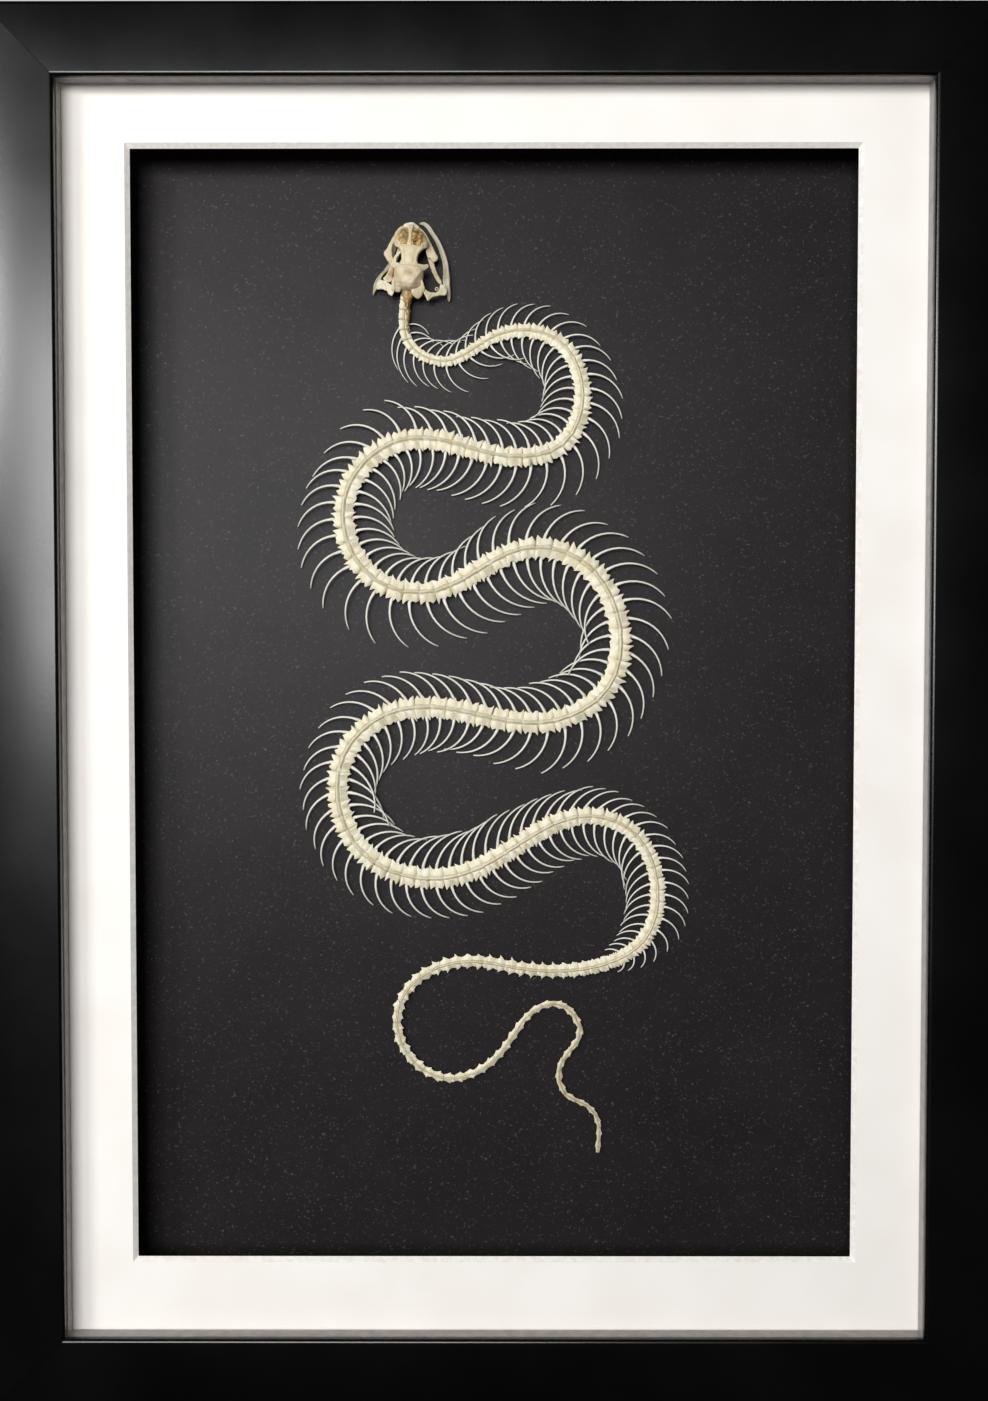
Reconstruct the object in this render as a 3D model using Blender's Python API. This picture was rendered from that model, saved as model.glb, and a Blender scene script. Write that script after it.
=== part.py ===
# A snake skeleton laid out in loops on black card, behind glass in a black shadow-box frame.
#
# All sizes below are in millimetres. X runs right, Z up, and the wall is the plane y = 0, so the
# picture faces -Y. The origin is on the rear face of the top rail, where the frame meets the wall.
# Skeleton sizes are given on the card: x and z from the picture's centre, and lift towards the glass.

import math

import bmesh
import bpy
import numpy as np
from mathutils import Vector

MM = 0.001
GAP = 0.3                    # clearance between pieces that touch

# frame
OPENING_WIDTH = 200.0        # what the lip leaves to see
OPENING_HEIGHT = 290.0
FACE_WIDTH = 16.5
FRAME_DEPTH = 30.0
LIP_THICKNESS = 1.4
LIP_OVERLAP = 5.5            # how far the lip covers the glass
EDGE_ROUNDING = 0.7

# what lies in the rebate, from the front to the back
GLAZING_THICKNESS = 1.0
FRONT_SPACER_DEPTH = 3.6
MAT_THICKNESS = 1.0
REAR_SPACER_DEPTH = 10.0
BACKING_THICKNESS = 1.6
REAR_BOARD_THICKNESS = 2.8
SHEET_WIDTH = 210.0
SHEET_HEIGHT = 300.0
FRONT_SPACER_WIDTH = 4.7
REAR_SPACER_WIDTH = 9.0

WINDOW_WIDTH = 170.6         # the mat's cut-out, at its rear face
WINDOW_HEIGHT = 261.8
WINDOW_SHIFT = (-0.5, 0.8)   # the cut-out's centre from the picture's centre

TAB_SIZE = (8.0, 0.6, 12.0)  # spring-steel tabs that hold the rear board
TABS_PER_LONG_SIDE = 2
HANGER_SIZE = (44.0, 1.0, 9.0)
HANGER_DROP = 14.0           # from the sheets' top edge to the hanger's middle

# the line of the backbone from the nape to the tail's tip, as (x, z)
BODY_ROUTE = [
    (-20.9, 101.0), (-20.0, 88.0), (-12.5, 84.5), (0.5, 90.5), (15.5, 89.0), (20.5, 73.5),
    (16.0, 65.0), (-2.5, 62.5), (-9.5, 64.5), (-23.0, 65.0), (-36.0, 51.0), (-28.5, 32.0),
    (-14.0, 29.5), (7.5, 39.5), (22.0, 35.5), (27.0, 7.0), (13.0, -2.0), (-14.0, 1.0),
    (-25.5, -0.5), (-36.5, -11.0), (-32.0, -34.0), (-8.5, -39.0), (22.5, -25.0), (33.0, -29.0),
    (36.5, -54.5), (19.5, -62.5), (-14.0, -61.5), (-23.5, -71.0), (-24.0, -76.5), (-13.5, -88.5),
    (-7.5, -88.5), (3.5, -79.5), (13.0, -70.5), (19.0, -73.5), (20.0, -77.5), (15.5, -87.0),
    (25.5, -102.0), (24.0, -109.0),
]

# each list gives (distance along the backbone, value) and is read off in straight lines between
VERTEBRA_LENGTH = [(0, 2.3), (60, 3.1), (110, 3.55), (200, 3.87), (300, 3.75), (370, 3.4),
                   (425, 2.95), (455, 2.4), (480, 2.65), (612, 2.75)]
HALF_WIDTH = [(0, 1.45), (25, 1.8), (50, 2.3), (72, 2.7), (100, 2.95), (135, 3.1), (360, 3.1),
              (400, 2.9), (430, 2.5), (455, 2.4), (490, 2.0), (510, 1.65), (560, 1.2), (612, 0.8)]
FIRST_VERTEBRA = 0.9         # distances along the backbone
FIRST_RIB = 9.0
LAST_RIB = 454.0
NECK_RISE = [(0, 1.8), (14, 0.0)]   # how far the neck is held up to meet the skull
NECK_VERTEBRAE = 14
VERTEBRAE_PER_LENGTH = 20    # the trunk and the tail are parted into lengths of this many

# the ribs of each side: (distance along the backbone, from the backbone's middle to the rib's tip,
# degrees by which the tip lies back from straight out)
RIBS = {
    "left": [
        (8, 6.0, 68), (13, 10.8, 62), (20, 10.4, 55), (28, 9.0, 38), (36, 9.8, 22), (45, 10.6, 16),
        (55, 11.2, 22), (66, 10.8, 18), (77, 11.2, 14), (84, 11.8, 30), (92, 12.3, 43), (104, 11.9, 58),
        (112, 11.6, 52), (117, 12.4, 34), (130, 12.9, 56), (137, 12.2, 40), (145, 13.3, 28),
        (155, 14.2, 16), (173, 14.8, 36), (190, 15.8, 20), (205, 15.6, 25), (217, 15.2, 35),
        (223, 13.8, 42), (245, 13.7, 23), (255, 13.3, 28), (265, 13.3, 43), (275, 13.2, 54),
        (290, 13.2, 57), (303, 12.5, 50), (317, 12.0, 54), (330, 12.1, 46), (356, 12.2, 41),
        (375, 12.2, 30), (400, 11.6, 20), (417, 12.4, 35), (430, 10.2, 35), (440, 8.5, 31),
        (451, 5.1, 43), (455, 3.5, 45),
    ],
    "right": [
        (8, 6.0, 40), (14, 8.2, 42), (30, 9.0, 44), (36, 8.5, 45), (45, 9.1, 47), (52, 9.8, 54),
        (63, 11.8, 40), (77, 13.2, 39), (88, 13.8, 37), (97, 13.5, 33), (104, 13.2, 23), (113, 12.0, 15),
        (124, 11.4, 9), (131, 13.4, 13), (141, 13.2, 20), (151, 12.8, 25), (160, 12.2, 27),
        (170, 12.0, 37), (180, 12.4, 47), (208, 13.9, 46), (222, 14.7, 37), (229, 14.6, 33),
        (234, 14.3, 48), (241, 14.1, 50), (250, 13.9, 42), (262, 14.3, 37), (270, 13.7, 44),
        (280, 13.2, 42), (287, 12.4, 26), (297, 12.0, 12), (310, 14.1, 30), (322, 14.2, 37),
        (330, 14.8, 36), (338, 12.7, 27), (348, 12.0, 29), (358, 14.3, 34), (366, 15.2, 42),
        (376, 13.8, 46), (386, 13.3, 62), (395, 12.6, 70), (411, 9.0, 56), (421, 9.3, 46),
        (430, 9.0, 34), (439, 8.7, 28), (451, 4.9, 42), (455, 3.5, 42),
    ],
}
RIB_HALF_TURN = 40.0         # degrees that a rib turns on either side of its chord
RIB_RADIUS = 0.31
RIB_STATIONS = (0.36, 0.7)   # shares of a rib's length where its sections stand
RIB_LIFTS = (2.05, 1.45)     # the rib's lift there, on a vertebra of full width
RIB_ROOT_LIFT = 1.5
RIB_TIP_LIFTS = (0.65, 1.4, 2.15, 2.9)   # the first that lets a rib pass the ones behind it
RIB_REACHES = (1.0, 0.95, 0.9, 0.85, 0.8, 0.7, 0.6, 0.5, 0.4)
RIB_CLEARANCE = 0.68         # between the middles of two ribs
FULL_HALF_WIDTH = 3.1

# the skull: measured (right, forward, lift) from the nape, along an axis that leans to the right
NAPE = (-21.3, 99.9)
SKULL_LEAN = 5.9             # degrees


# ---------------------------------------------------------------- materials

def surface(name, colour, roughness, metallic=0.0, alpha=1.0):
    material = bpy.data.materials.new(name)
    material.use_nodes = True
    shader = material.node_tree.nodes["Principled BSDF"]
    shader.inputs["Base Color"].default_value = (*colour, 1.0)
    shader.inputs["Roughness"].default_value = roughness
    shader.inputs["Metallic"].default_value = metallic
    shader.inputs["Alpha"].default_value = alpha
    material.diffuse_color = (*colour, alpha)
    return material


def make_surfaces():
    return {
        "moulding": surface("black_painted_wood", (0.012, 0.011, 0.011), 0.3),
        "glazing": surface("clear_glass", (0.95, 0.97, 0.96), 0.02, alpha=0.1),
        "spacer": surface("black_plastic_strip", (0.015, 0.015, 0.016), 0.25),
        "mat": surface("white_mat_board", (0.82, 0.8, 0.77), 0.8),
        "backing": surface("black_card", (0.03, 0.027, 0.028), 0.9),
        "board": surface("brown_fibreboard", (0.26, 0.17, 0.09), 0.85),
        "steel": surface("zinc_plated_steel", (0.62, 0.62, 0.6), 0.35, metallic=1.0),
        "bone": surface("dry_bone", (0.8, 0.74, 0.55), 0.6),
        "tissue": surface("dried_cartilage", (0.55, 0.36, 0.17), 0.6),
    }


# ---------------------------------------------------------------- mesh helpers

def add_object(name, mesh_data, material, smooth=False):
    # Turns a bmesh in millimetres into an object in metres, with its faces pointing out.
    bmesh.ops.recalc_face_normals(mesh_data, faces=mesh_data.faces)
    bmesh.ops.scale(mesh_data, vec=(MM, MM, MM), verts=mesh_data.verts)
    mesh = bpy.data.meshes.new(name)
    mesh_data.to_mesh(mesh)
    mesh_data.free()
    mesh.materials.append(material)
    if smooth:
        mesh.shade_smooth()
        mesh.set_sharp_from_angle(angle=math.radians(50))
    obj = bpy.data.objects.new(name, mesh)
    bpy.context.scene.collection.objects.link(obj)
    return obj


def add_ring(mesh_data, points):
    return [mesh_data.verts.new(point) for point in points]


def bridge(mesh_data, ring_a, ring_b):
    # Joins two rings of equal length with four-sided faces.
    count = len(ring_a)
    return [
        mesh_data.faces.new((ring_a[i], ring_a[(i + 1) % count], ring_b[(i + 1) % count], ring_b[i]))
        for i in range(count)
    ]


def loft(rings):
    # One closed body through a row of rings, capped at both ends.
    mesh_data = bmesh.new()
    previous = add_ring(mesh_data, rings[0])
    mesh_data.faces.new(previous)
    for points in rings[1:]:
        ring = add_ring(mesh_data, points)
        bridge(mesh_data, previous, ring)
        previous = ring
    mesh_data.faces.new(list(reversed(previous)))
    return mesh_data


def grow_spur(mesh_data, face, sections, tip):
    # Draws a face out through the given sections, one point for each of its corners, to a tip.
    for points in sections:
        made = bmesh.ops.extrude_discrete_faces(mesh_data, faces=[face])
        face = made["faces"][0]
        for loop, point in zip(face.loops, points):
            loop.vert.co = point
    fan = bmesh.ops.poke(mesh_data, faces=[face])
    fan["verts"][0].co = tip


def box(low, high):
    mesh_data = bmesh.new()
    bmesh.ops.create_cube(mesh_data, size=1.0)
    size = Vector(high) - Vector(low)
    bmesh.ops.scale(mesh_data, vec=size, verts=mesh_data.verts)
    bmesh.ops.translate(mesh_data, vec=(Vector(high) + Vector(low)) / 2, verts=mesh_data.verts)
    return mesh_data


# ---------------------------------------------------------------- places in the frame

OUTER_WIDTH = OPENING_WIDTH + 2 * FACE_WIDTH
OUTER_HEIGHT = OPENING_HEIGHT + 2 * FACE_WIDTH
REBATE_INSET = FACE_WIDTH - LIP_OVERLAP
MOUNT_INSET = REBATE_INSET / 2
PICTURE_CENTRE_Z = -(OUTER_HEIGHT / 2 - MOUNT_INSET)


def layer_fronts():
    # The y of each sheet's front and rear face, stacked from the lip backwards with a gap between.
    layers = {}
    front = -FRAME_DEPTH + LIP_THICKNESS + GAP
    for name, thickness in (
        ("glazing", GLAZING_THICKNESS),
        ("front_spacer", FRONT_SPACER_DEPTH),
        ("mat", MAT_THICKNESS),
        ("rear_spacer", REAR_SPACER_DEPTH),
        ("backing", BACKING_THICKNESS),
        ("rear_board", REAR_BOARD_THICKNESS),
    ):
        layers[name] = (front, front + thickness)
        front += thickness + GAP
    return layers


LAYERS = layer_fronts()
CARD_Y = LAYERS["backing"][0]


def on_card(x, z, lift):
    return Vector((x, CARD_Y - lift, PICTURE_CENTRE_Z + z))


def skull_point(right, forward, lift):
    lean = math.radians(SKULL_LEAN)
    x = NAPE[0] + right * math.cos(lean) + forward * math.sin(lean)
    z = NAPE[1] - right * math.sin(lean) + forward * math.cos(lean)
    return on_card(x, z, lift)


# ---------------------------------------------------------------- frame

def mitred_bar(name, side, profile, outer_width, outer_height, material):
    # A strip along one side of a rectangle, its profile given as (inset from the edge, y) and its
    # ends cut at 45 degrees with half a gap left on each.
    half_long, half_across = outer_width / 2, outer_height / 2
    if side in ("left", "right"):
        half_long, half_across = half_across, half_long
    end_gap = GAP / math.sqrt(2)
    rings = []
    for end in (-1, 1):
        ring = []
        for inset, y in profile:
            along = end * (half_long - inset - end_gap)
            across = half_across - inset
            x, z = {
                "top": (along, across),
                "bottom": (-along, -across),
                "left": (-across, along),
                "right": (across, -along),
            }[side]
            ring.append((x, y, PICTURE_CENTRE_Z + z))
        rings.append(ring)
    return add_object(f"{name}_{side}", loft(rings), material)


def make_moulding(material):
    front, lip_back = -FRAME_DEPTH, -FRAME_DEPTH + LIP_THICKNESS
    profile = [
        (0.0, 0.0), (0.0, front + EDGE_ROUNDING), (EDGE_ROUNDING, front),
        (FACE_WIDTH - EDGE_ROUNDING, front), (FACE_WIDTH, front + EDGE_ROUNDING),
        (FACE_WIDTH, lip_back), (REBATE_INSET, lip_back), (REBATE_INSET, 0.0),
    ]
    for side in ("top", "bottom", "left", "right"):
        mitred_bar("frame", side, profile, OUTER_WIDTH, OUTER_HEIGHT, material)


def make_spacers(name, width, material):
    front, back = LAYERS[name]
    profile = [(0.0, back), (0.0, front), (width, front), (width, back)]
    for side in ("top", "bottom", "left", "right"):
        mitred_bar(name, side, profile, SHEET_WIDTH, SHEET_HEIGHT, material)


def make_sheet(name, layer, material):
    front, back = LAYERS[layer]
    low = (-SHEET_WIDTH / 2, front, PICTURE_CENTRE_Z - SHEET_HEIGHT / 2)
    high = (SHEET_WIDTH / 2, back, PICTURE_CENTRE_Z + SHEET_HEIGHT / 2)
    add_object(name, box(low, high), material)


def make_mat(material):
    # A sheet with a window whose edge is bevelled at 45 degrees, wider at the front.
    front, back = LAYERS["mat"]

    def corners(width, height, y, shift=(0.0, 0.0)):
        return [
            (shift[0] + i * width / 2, y, PICTURE_CENTRE_Z + shift[1] + j * height / 2)
            for i, j in ((-1, -1), (1, -1), (1, 1), (-1, 1))
        ]

    mesh_data = bmesh.new()
    rings = [
        corners(SHEET_WIDTH, SHEET_HEIGHT, front),
        corners(SHEET_WIDTH, SHEET_HEIGHT, back),
        corners(WINDOW_WIDTH, WINDOW_HEIGHT, back, WINDOW_SHIFT),
        corners(WINDOW_WIDTH + 2 * MAT_THICKNESS, WINDOW_HEIGHT + 2 * MAT_THICKNESS, front, WINDOW_SHIFT),
    ]
    rings = [add_ring(mesh_data, ring) for ring in rings]
    for ring_a, ring_b in zip(rings, rings[1:] + rings[:1]):
        bridge(mesh_data, ring_a, ring_b)
    add_object("mat_board", mesh_data, material)


def make_rear_fittings(material):
    board_back = LAYERS["rear_board"][1]
    depth = TAB_SIZE[1]
    y_low, y_high = board_back + GAP, board_back + GAP + depth
    half_width, half_height = SHEET_WIDTH / 2, SHEET_HEIGHT / 2
    places = []
    for row in range(TABS_PER_LONG_SIDE):
        z = (row / (TABS_PER_LONG_SIDE - 1) - 0.5) * SHEET_HEIGHT * 0.5
        places += [(-half_width + TAB_SIZE[0] / 2, z, TAB_SIZE[0], TAB_SIZE[2]),
                   (half_width - TAB_SIZE[0] / 2, z, TAB_SIZE[0], TAB_SIZE[2])]
    places += [(0.0, sign * (half_height - TAB_SIZE[0] / 2), TAB_SIZE[2], TAB_SIZE[0]) for sign in (-1, 1)]
    for number, (x, z, width, height) in enumerate(places, start=1):
        low = (x - width / 2, y_low, PICTURE_CENTRE_Z + z - height / 2)
        high = (x + width / 2, y_high, PICTURE_CENTRE_Z + z + height / 2)
        add_object(f"rear_tab_{number}", box(low, high), material)
    z = PICTURE_CENTRE_Z + half_height - TAB_SIZE[0] - HANGER_DROP
    low = (-HANGER_SIZE[0] / 2, y_low, z - HANGER_SIZE[2] / 2)
    high = (HANGER_SIZE[0] / 2, y_low + HANGER_SIZE[1], z + HANGER_SIZE[2] / 2)
    add_object("wall_hanger", box(low, high), material)


# ---------------------------------------------------------------- backbone and ribs

def read_off(table, distance, column=1):
    return float(np.interp(distance, [row[0] for row in table], [row[column] for row in table]))


def smooth_route(points, samples=3000):
    # A natural cubic spline through the points, as a fine row of points with its own distances.
    points = np.array(points, float)
    knots = np.concatenate([[0.0], np.cumsum(np.linalg.norm(np.diff(points, axis=0), axis=1))])
    gaps = np.diff(knots)
    count = len(points)
    system = np.eye(count)
    right_side = np.zeros((count, 2))
    for i in range(1, count - 1):
        system[i, i - 1:i + 2] = gaps[i - 1], 2 * (gaps[i - 1] + gaps[i]), gaps[i]
        slopes = (points[i + 1] - points[i]) / gaps[i] - (points[i] - points[i - 1]) / gaps[i - 1]
        right_side[i] = 6 * slopes
    bends = np.linalg.solve(system, right_side)
    at = np.linspace(0.0, knots[-1], samples)
    i = np.clip(np.searchsorted(knots, at, side="right") - 1, 0, count - 2)
    after, before, gap = (at - knots[i])[:, None], (knots[i + 1] - at)[:, None], gaps[i][:, None]
    line = (bends[i] * before**3 + bends[i + 1] * after**3) / (6 * gap)
    line += (points[i] / gap - bends[i] * gap / 6) * before
    line += (points[i + 1] / gap - bends[i + 1] * gap / 6) * after
    distance = np.concatenate([[0.0], np.cumsum(np.linalg.norm(np.diff(line, axis=0), axis=1))])
    return line, distance


class Backbone:
    # Reads places off the smooth route: along is a distance from the nape, left the snake's left.
    def __init__(self):
        self.line, self.distance = smooth_route(BODY_ROUTE)
        self.length = float(self.distance[-1])
        tangent = np.gradient(self.line, self.distance, axis=0)
        self.heading = np.unwrap(np.arctan2(tangent[:, 1], tangent[:, 0]))

    def centre(self, along):
        return (float(np.interp(along, self.distance, self.line[:, 0])),
                float(np.interp(along, self.distance, self.line[:, 1])))

    def angle(self, along):
        return float(np.interp(along, self.distance, self.heading))

    def point(self, along, left, lift):
        # A place beside the route, straight out from it.
        x, z = self.centre(along)
        angle = self.angle(along)
        return on_card(x + left * math.sin(angle), z - left * math.cos(angle), lift)

    def offset(self, along, left, back, lift):
        # A place given from the vertebra at along: out to its left, and back along its heading.
        x, z = self.centre(along)
        angle = self.angle(along)
        x += left * math.sin(angle) + back * math.cos(angle)
        z += -left * math.cos(angle) + back * math.sin(angle)
        return on_card(x, z, lift)


def vertebra_section(backbone, along, half_width, waist):
    # Six points round a vertebra: spine, left process, left underside, keel, and the right pair.
    # The processes stand out at the front of each vertebra, and its waist is drawn in.
    w = half_width
    if waist:
        shape = [(0.0, 1.4), (0.66, 0.74), (0.33, 0.25), (0.0, 0.1)]
    else:
        shape = [(0.0, 1.5), (1.0, 0.88), (0.36, 0.25), (0.0, 0.0)]
    (_, top), (side, side_lift), (low, low_lift), (_, keel) = shape
    around = [(0.0, top), (side, side_lift), (low, low_lift), (0.0, keel), (-low, low_lift), (-side, side_lift)]
    rest = GAP + read_off(NECK_RISE, along)
    return [backbone.point(along, left * w, rest + lift * w) for left, lift in around]


def variation(number, side):
    # A small fixed irregularity between -1 and 1, different for each rib.
    return math.sin(2.4 * number + 1.7 * side) * math.cos(0.9 * number * side + 0.4)


class Rib:
    # An arc that leaves its vertebra outwards and turns back along the body. side is 1 for the
    # snake's left and -1 for its right, reach is the share of the measured length that is built.
    def __init__(self, backbone, along, side, number, reach, tip_lift):
        table = RIBS["left" if side == 1 else "right"]
        span = read_off(table, along) * (1 + 0.02 * variation(number, side)) * reach
        sweep = math.radians(read_off(table, along, 2) + 2.0 * variation(number + 5, side))
        half_width = read_off(HALF_WIDTH, along)
        scale = half_width / FULL_HALF_WIDTH
        self.backbone, self.along, self.side = backbone, along, side
        self.root = 0.4 * half_width
        out, back = span * math.cos(sweep) - self.root, span * math.sin(sweep)
        self.turn = math.radians(RIB_HALF_TURN)
        self.start = math.atan2(back, out) - self.turn
        self.radius = math.hypot(out, back) / (2 * math.sin(self.turn))
        self.shares = (0.0, *RIB_STATIONS, 1.0)
        self.lifts = (RIB_ROOT_LIFT * scale, *(GAP + lift * scale for lift in RIB_LIFTS), tip_lift)

    def point(self, share, lift, aside=0.0):
        # A place on the arc, or aside from it towards the tail.
        here = self.start + 2 * self.turn * share
        left = self.root + self.radius * (math.sin(here) - math.sin(self.start)) - aside * math.sin(here)
        back = self.radius * (math.cos(self.start) - math.cos(here)) + aside * math.cos(here)
        return self.backbone.offset(self.along, self.side * left, back, lift)

    def section(self, share, lift):
        # Three corners round the rib, one above and two below, in the order of its root's corners.
        corners = []
        for turn in (90, 210, 330):
            aside = RIB_RADIUS * math.cos(math.radians(turn))
            corners.append(self.point(share, lift + RIB_RADIUS * math.sin(math.radians(turn)), aside))
        return corners

    def beads(self):
        # Points at even steps along the straight pieces that the rib is built from.
        nodes = np.array([self.point(share, lift) for share, lift in zip(self.shares, self.lifts)])
        steps = np.linspace(0.0, 3.0, 28)[:, None]
        piece = np.minimum(steps.astype(int), 2)[:, 0]
        return nodes[piece] + (nodes[piece + 1] - nodes[piece]) * (steps - piece[:, None])

    def clears(self, others):
        own = self.beads()
        return all(np.linalg.norm(own[:, None] - other.beads()[None], axis=2).min() > RIB_CLEARANCE
                   for other in others)


def fit_rib(backbone, along, side, number, others):
    # The longest rib that passes its neighbours, with its tip as near the card as they allow.
    for reach in RIB_REACHES:
        for tip_lift in RIB_TIP_LIFTS:
            rib = Rib(backbone, along, side, number, reach, tip_lift)
            if rib.clears(others):
                return rib
    raise ValueError(f"no room for rib {number} on side {side}")


def fit_ribs(backbone, starts):
    # Every rib by its vertebra's number and side, from the tail forwards: each is fitted over the
    # ones behind it, towards which it leans.
    ribs = {}
    for number, start in reversed(list(enumerate(starts))):
        if not FIRST_RIB <= start <= LAST_RIB:
            continue
        along = start + 0.45 * read_off(VERTEBRA_LENGTH, start)
        for side in (1, -1):
            others = [ribs[near, side] for near in range(number + 1, number + 6) if (near, side) in ribs]
            ribs[number, side] = fit_rib(backbone, along, side, number, others)
    return ribs


def vertebra_starts(backbone):
    # Where each vertebra begins; the last one takes what is left of the route.
    starts = [FIRST_VERTEBRA]
    while starts[-1] + 2 * read_off(VERTEBRA_LENGTH, starts[-1]) < backbone.length:
        starts.append(starts[-1] + read_off(VERTEBRA_LENGTH, starts[-1]))
    return starts


def make_length(name, backbone, starts, ribs, first, last, material):
    # One length of the backbone with its ribs: the vertebrae first up to, not including, last.
    mesh_data = bmesh.new()
    begin = starts[first]
    end = starts[last] - GAP if last < len(starts) else backbone.length
    previous = add_ring(mesh_data, vertebra_section(backbone, begin, read_off(HALF_WIDTH, begin), True))
    mesh_data.faces.new(previous)
    roots = []
    for number in range(first, last):
        start = starts[number]
        length = read_off(VERTEBRA_LENGTH, start)
        half_width = read_off(HALF_WIDTH, start)
        front = add_ring(mesh_data, vertebra_section(backbone, start + 0.2 * length, half_width, False))
        bridge(mesh_data, previous, front)
        rear = add_ring(mesh_data, vertebra_section(backbone, start + 0.66 * length, half_width, True))
        for i in range(6):
            j = (i + 1) % 6
            side = {1: 1, 4: -1}.get(i)
            if (number, side) in ribs:
                # the side below a process is parted, and its rear half is the rib's root
                high, low = (i, j) if side == 1 else (j, i)
                mesh_data.faces.new((front[high], front[low], rear[high]))
                root = mesh_data.faces.new((rear[high], front[low], rear[low]))
                roots.append((root, ribs[number, side]))
            else:
                mesh_data.faces.new((front[i], front[j], rear[j], rear[i]))
        previous = rear
    last_ring = add_ring(mesh_data, vertebra_section(backbone, end, read_off(HALF_WIDTH, end) * 0.8, True))
    bridge(mesh_data, previous, last_ring)
    mesh_data.faces.new(last_ring)
    for root, rib in roots:
        sections = [rib.section(share, lift) for share, lift in zip(rib.shares[1:3], rib.lifts[1:3])]
        grow_spur(mesh_data, root, sections, rib.point(1.0, rib.lifts[3]))
    add_object(name, mesh_data, material)


def make_backbone(material):
    backbone = Backbone()
    starts = vertebra_starts(backbone)
    ribs = fit_ribs(backbone, starts)
    tail_start = sum(start <= LAST_RIB for start in starts)
    make_length("neck", backbone, starts, ribs, 0, NECK_VERTEBRAE, material)
    for region, first, last in (("trunk", NECK_VERTEBRAE, tail_start), ("tail", tail_start, len(starts))):
        count = round((last - first) / VERTEBRAE_PER_LENGTH)
        cuts = [first + round(i * (last - first) / count) for i in range(count + 1)]
        for number, (low, high) in enumerate(zip(cuts, cuts[1:]), start=1):
            make_length(f"{region}_{number}", backbone, starts, ribs, low, high, material)


# ---------------------------------------------------------------- skull

def oval_ring(right, forward, low, high, half_width, sides=10, flatness=0.75):
    # A rounded section across the skull, flatter on top than an ellipse.
    middle, half_height = (low + high) / 2, (high - low) / 2
    ring = []
    for i in range(sides):
        angle = 2 * math.pi * (i + 0.5) / sides
        side = math.copysign(abs(math.cos(angle)) ** flatness, math.cos(angle))
        up = math.copysign(abs(math.sin(angle)) ** flatness, math.sin(angle))
        ring.append(skull_point(right + half_width * side, forward, middle + half_height * up))
    return ring


def bone_bar(name, stations, material, sides=6):
    # A rod of bone through stations (right, forward, lift, half width, half height), with each
    # section square to the line through its neighbours.
    places = [Vector(station[:3]) for station in stations]
    rings = []
    for i, (right, forward, lift, half_width, half_height) in enumerate(stations):
        run = places[min(i + 1, len(places) - 1)] - places[max(i - 1, 0)]
        across = Vector((run.y, -run.x, 0.0)).normalized()
        ring = []
        for k in range(sides):
            angle = 2 * math.pi * (k + 0.5) / sides
            out = half_width * math.cos(angle)
            ring.append(skull_point(right + across.x * out, forward + across.y * out,
                                    lift + half_height * math.sin(angle)))
        rings.append(ring)
    return add_object(name, loft(rings), material)


def nearest_face(mesh_data, place):
    return min(mesh_data.faces, key=lambda face: (face.calc_center_median() - place).length)


def make_cranium(material):
    # Frontals, parietal and braincase as one bone: (forward, middle, half width, low, high).
    sections = [
        (10.2, 0.3, 2.4, 3.0, 5.2), (9.2, 0.15, 2.3, 2.7, 5.6), (7.5, 0.05, 2.2, 2.5, 5.9),
        (6.3, 0.3, 2.8, 2.4, 6.1), (5.0, 0.4, 3.45, 2.3, 6.3), (3.4, 0.4, 3.4, 2.3, 6.4),
        (1.8, 0.55, 3.5, 2.4, 6.1), (0.7, 0.55, 3.4, 2.5, 5.6),
    ]
    mesh_data = loft([oval_ring(middle, forward, low, high, half_width)
                      for forward, middle, half_width, low, high in sections])
    mesh_data.normal_update()
    rear = nearest_face(mesh_data, skull_point(0.55, 0.7, 4.05))
    bmesh.ops.inset_individual(mesh_data, faces=[rear], thickness=0.9)
    # the processes behind the eye sockets and beside the nape: (root, tip), as skull points
    for root, tip in (
        ((3.2, 5.6, 4.6), (4.95, 6.7, 4.3)), ((-2.7, 5.6, 4.6), (-3.95, 5.9, 4.3)),
        ((3.6, 0.7, 4.3), (3.3, -1.1, 4.2)), ((-2.4, 0.7, 4.3), (-2.6, -0.8, 4.2)),
    ):
        face = nearest_face(mesh_data, skull_point(*root))
        middle = face.calc_center_median()
        tip_point = skull_point(*tip)
        waist = middle.lerp(tip_point, 0.55)
        section = [waist + (vertex.co - middle) * 0.45 for vertex in face.verts]
        grow_spur(mesh_data, face, [section], tip_point)
    add_object("skull_cranium", mesh_data, material)


def make_snout(material):
    # Nasals and premaxilla with the dried tissue over the nose.
    sections = [
        (10.5, 0.3, 2.6, 3.0, 4.9), (11.6, 0.25, 2.8, 2.6, 4.9), (13.1, 0.15, 2.75, 2.4, 4.6),
        (14.5, 0.05, 2.4, 2.3, 4.2), (15.6, -0.05, 1.7, 2.3, 3.7), (16.6, -0.15, 0.75, 2.4, 3.1),
    ]
    mesh_data = loft([oval_ring(middle, forward, low, high, half_width)
                      for forward, middle, half_width, low, high in sections])
    add_object("skull_snout", mesh_data, material)


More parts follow.
